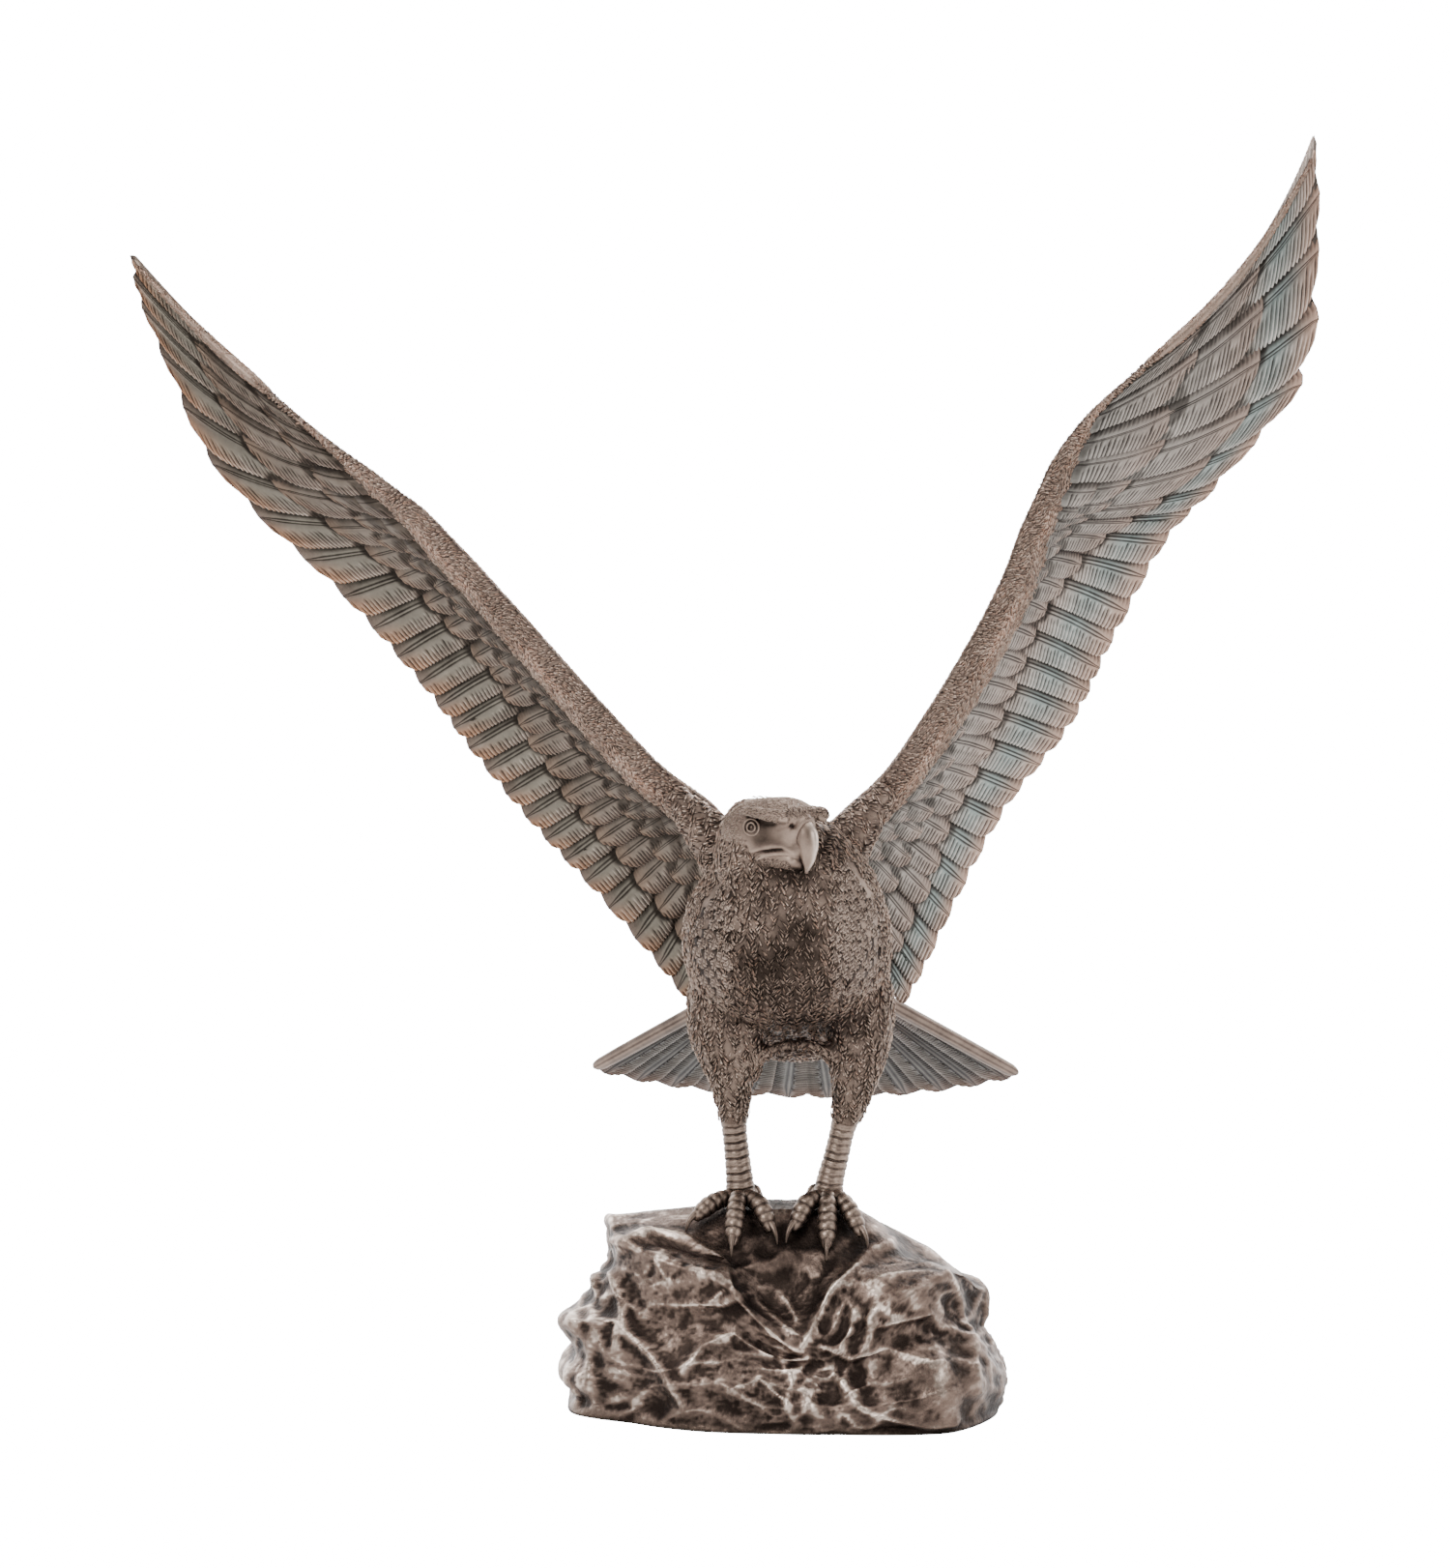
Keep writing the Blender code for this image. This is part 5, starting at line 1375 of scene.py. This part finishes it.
def rockPart():
    around = rockLook["around"]
    azimuth = -180 + 360 * np.arange(around) / around
    azimuth = azimuth - rockLook["crowd"] * np.sin(np.radians(azimuth + 90))  # more columns in front
    foot, crest, crestHigh, hollow, hollowHigh, perch = rockRib(azimuth)
    rows = []
    ups, ins = zip(*rockForm["flank"])
    for up in np.linspace(0, 1, rockLook["flankRows"]) ** 0.9:
        away = np.abs((azimuth - 184 + 180) % 360 - 180)
        nose = sum(much * np.exp(-((away / wide) ** 2) - ((up * crestHigh - level) / tall) ** 2)
                   for level, tall, wide, much in rockLook["nose"])
        rows.append((foot + (crest - foot) * np.interp(up, ups, ins) + nose, up * crestHigh))
    knots = [0.0, 0.25, 0.5, 0.8, 1.0]
    for t in np.linspace(0, 1, rockLook["topRows"])[1:]:
        reaches = zip(crest, (crest + hollow) / 2, hollow, perch, perch * 0 + 0.004)
        highs = zip(crestHigh, (crestHigh + hollowHigh) / 2, hollowHigh, perch * 0 + 1, perch * 0 + 1)
        reach, high = (np.array([np.interp(t, knots, line) for line in lines]) for lines in (reaches, highs))
        rows.append((reach, high))
    reach, high = np.array([r for r, _ in rows]), np.array([h for _, h in rows])
    for _ in range(3):  # soften the table's corners
        reach[1:-1] = (reach[:-2] + 2 * reach[1:-1] + reach[2:]) / 4
        high[1:-1] = (high[:-2] + 2 * high[1:-1] + high[2:]) / 4
        reach = (np.roll(reach, 2, 1) + 2 * reach + np.roll(reach, -2, 1)) / 4
        high = (np.roll(high, 2, 1) + 2 * high + np.roll(high, -2, 1)) / 4
    turn = np.radians(azimuth)
    points = np.stack([
        reach * rockForm["width"] / 2 * np.cos(turn), reach * rockForm["depth"] / 2 * np.sin(turn),
        high * rockForm["height"],
    ], -1)
    du = np.roll(points, -1, 1) - np.roll(points, 1, 1)
    dv = np.gradient(points, axis=0)
    normal = unitRows(np.cross(du, dv))
    flat, facing = points.reshape(-1, 3), normal.reshape(-1, 3)
    bend = np.stack([rockNoise(flat, rockLook["bendScale"], n) for n in (1, 2, 3)], -1)
    bend = bend * rockLook["bend"] / rockLook["bendScale"]
    warped = (flat + bend) * np.array([1.0, 1.0, 1.5])
    fold = 1 - 2.4 * np.abs(rockNoise(warped, rockLook["foldScale"], 4))
    fromCrest = np.abs(rockNoise(warped + bend * 0.4, rockLook["creaseScale"], 5))
    crease = 1 - 2.4 * fromCrest
    fold, crease = np.clip(fold, -0.4, 1), np.clip(crease, -0.4, 1)
    lump = rockNoise(flat, rockLook["lumpScale"], 6)
    pit = smoothStep(0.15, 0.5, rockNoise(flat, rockLook["pitScale"], 7))
    pit = pit * smoothStep(-0.15, 0.25, rockNoise(flat, 38.0, 13))
    pit = np.maximum(pit, 0.35 * smoothStep(0.2, 0.5, rockNoise(flat, 430.0, 14)))
    strata = (flat + bend * 0.5) * np.array([0.55, 1.0, 2.0])
    streak = 1 - 3.2 * np.abs(rockNoise(strata, rockLook["streakScale"], 15))
    streak = np.clip(streak, -0.6, 1) * smoothStep(-0.25, 0.2, rockNoise(flat, 24.0, 16))
    front = smoothStep(0.05, 0.45, -facing[:, 1]) * (flat[:, 1] < 0.005)
    wander = np.stack([rockNoise(flat, 60.0, 8), rockNoise(flat, 60.0, 9)], -1) * 2.2
    place = np.stack([flat[:, 0] * 1000 + wander[:, 0], flat[:, 2] * 1000 + wander[:, 1]], -1)
    laid = np.zeros(len(flat))
    crestWearAndShine = np.zeros(len(flat))
    for line, wide, tall in rockRidges:
        away, _ = polylineDistance(place, line)
        laid = np.maximum(laid, tall * np.exp(-((away / wide) ** 1.1)) * front)
        crestWearAndShine = np.maximum(crestWearAndShine, bell(away / (wide * 0.13)) * front)
    for x, z, wide, high2, deep in rockHollows:
        inside = np.exp(-(((place[:, 0] - x) / wide) ** 2) - ((place[:, 1] - z) / high2) ** 2)
        laid -= deep * inside * front
    foldBy = rockLook["fold"] * (1 - 0.55 * front)
    push = foldBy * (fold - 0.35) + rockLook["crease"] * (crease - 0.3) + rockLook["lump"] * lump
    push = push - rockLook["pit"] * pit + rockLook["streak"] * streak
    push = push + (laid - 0.9 * front) / 1000
    shape = points.shape[:2]
    push = push.reshape(shape)
    level = np.arange(shape[0])[:, None]
    push = push * smoothStep(0, 5, level) * (1 - smoothStep(shape[0] * 0.82, shape[0] * 0.92, level) * 0.7)
    top = smoothStep(rockForm["height"] * 0.86, rockForm["height"] * 0.99, points[..., 2])
    push = np.where(push > 0, push * (1 - top), push)
    moved = points + normal * push[..., None]
    moved[..., 2] = np.clip(moved[..., 2], 0.0, rockForm["height"] - 0.0003)
    moved[0, :, 2] = 0.0
    spread = moved
    for _ in range(9):
        inner = spread.copy()
        beside = np.roll(spread, 1, 1)[1:-1] + np.roll(spread, -1, 1)[1:-1]
        inner[1:-1] = (spread[:-2] + spread[2:] + beside) / 4
        spread = inner
    stand = np.tanh(((moved - spread) * normal).sum(-1) / 0.00022)
    speck = rockNoise(flat, 900.0, 10).reshape(shape)
    fleck = rockNoise(flat, 210.0, 11).reshape(shape)
    relief = (0.14 * np.clip(streak, -0.5, 1) + 0.12 * lump - 0.15 * pit).reshape(shape)
    relief = relief + 0.35 + 0.40 * stand + 0.30 * (speck + fleck)
    # bright thin lines on the ridge crests: wear with a painted highlight
    relief = relief + 0.34 * (crestWearAndShine.reshape(shape) * (0.35 + np.clip(fleck + 0.3, 0, 1)))
    vein = np.clip(0.2 + 1.6 * rockNoise(flat, 90.0, 12).reshape(shape), 0, 1)
    thin = bell(fromCrest / 0.024).reshape(shape) * vein
    relief = relief + 0.36 * thin
    # painted shadow under the bird, on the front of the rock's top
    under = np.exp(-(((place[:, 0] - 2) / 26) ** 2) - ((place[:, 1] - 52) / 7) ** 2).reshape(shape)
    under = under * (points[..., 1] < 0)
    shady = 0.36 * smoothStep(0.02, 0.065, points[..., 0])  # painted shade: the right side is darker
    relief = relief * (1 - shady) * (1 - 0.65 * under)
    # painted shade: darker towards the floor
    relief = relief * (0.75 + 0.25 * smoothStep(0, 0.012, points[..., 2]))
    everything = np.concatenate([moved.reshape(-1, 3), [[0, 0, 0], moved[-1].mean(0)]])
    shade = np.clip(np.concatenate([relief.ravel(), [0.3, 0.4]]), 0.03, 1)
    return shellPart(everything, gridQuads(*shape, True), endCaps(*shape), shade)


rock = makePiece("rock", [rockPart()], materials["stone"], inMetres=True)
print("eagle: body, head, legs, tail and rock are built")

# camera, light and floor

view = {"distance": 1.25, "elevation": 3.5, "target": (-0.0178, 0.0, 0.192), "lens": 93.5, "sensor": 36.0}
camera = bpy.data.objects.new("camera", bpy.data.cameras.new("camera"))
bpy.context.scene.collection.objects.link(camera)
camera.data.lens = view["lens"]
camera.data.sensor_width = view["sensor"]
rise = math.radians(view["elevation"])
back = Vector((0, -math.cos(rise), math.sin(rise)))
camera.location = Vector(view["target"]) + back * view["distance"]
camera.rotation_euler = back.to_track_quat("Z", "Y").to_euler()
bpy.context.scene.camera = camera

floor = makePiece("floor", [shellPart(
    [(-3, -3, 0), (3, -3, 0), (3, 3, 0), (-3, 3, 0)], [[0, 1, 2, 3]],
)], bpy.data.materials.new("paleFloor"), inMetres=True)
floorShade = floor.data.materials[0]
floorShade.use_nodes = True
floorLinks, floorSkin = floorShade.node_tree.links, floorShade.node_tree.nodes["Principled BSDF"]
for key, value in (("Base Color", (0.95, 0.95, 0.95, 1)), ("Roughness", 0.7), ("Emission Strength", 16.0)):
    floorSkin.inputs[key].default_value = value
glow = floorShade.node_tree.nodes.new("ShaderNodeLightPath")  # burnt out to white, for the camera only
floorLinks.new(glow.outputs["Is Camera Ray"], floorSkin.inputs["Emission Color"])

studio = {
    "key": {"at": (-1.1, -1.3, 1.3), "size": 0.8, "power": 30.0},
    "fill": {"at": (1.5, -0.9, 0.7), "size": 1.1, "power": 12.0},
    "top": {"at": (0.1, -0.1, 1.7), "size": 1.2, "power": 18.0},
    "rim": {"at": (0.6, 1.3, 1.0), "size": 0.8, "power": 12.0},
}
for name, lamp in studio.items():
    light = bpy.data.lights.new(name, "AREA")
    light.size = lamp["size"]
    light.energy = lamp["power"]
    holder = bpy.data.objects.new(name + "Light", light)
    bpy.context.scene.collection.objects.link(holder)
    holder.location = lamp["at"]
    holder.rotation_euler = (Vector(lamp["at"]) - Vector((0, 0, 0.2))).to_track_quat("Z", "Y").to_euler()

# brightness of the white studio: on the camera's side, behind the bird, and as the camera sees it
room = {"front": 0.42, "behind": 4.5, "seen": 12.0}
world = bpy.data.worlds.new("studio")
bpy.context.scene.world = world
world.use_nodes = True
wireRoom = world.node_tree
roomNodes = wireGroup(wireRoom, [
    ("ShaderNodeTexCoord", {}, {}),  # 0
    ("ShaderNodeSeparateXYZ", {}, {0: (0, "Generated")}),  # 1
    ("ShaderNodeMapRange", {"interpolation_type": "SMOOTHSTEP"},
     {"Value": (1, "Y"), 1: 0.0, 2: 0.65, 3: room["front"], 4: room["behind"]}),  # 2
    ("ShaderNodeLightPath", {}, {}),  # 3
    ("ShaderNodeMath", {"operation": "MULTIPLY_ADD"},
     {0: (3, "Is Camera Ray"), 1: room["seen"], 2: (2, 0)}),  # 4
])
backdrop = wireRoom.nodes["Background"]
wireRoom.links.new(roomNodes[-1].outputs[0], backdrop.inputs["Strength"])
backdrop.inputs["Color"].default_value = (1, 1, 1, 1)
print("eagle: camera and studio are set")

for piece in wings + [skin, bodyDown, headSkin, headDown, scales, head, legs, tail, tailEdges]:
    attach(piece, "root")
    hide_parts("eagle")
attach(rock, "root")
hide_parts("rock_plinth")
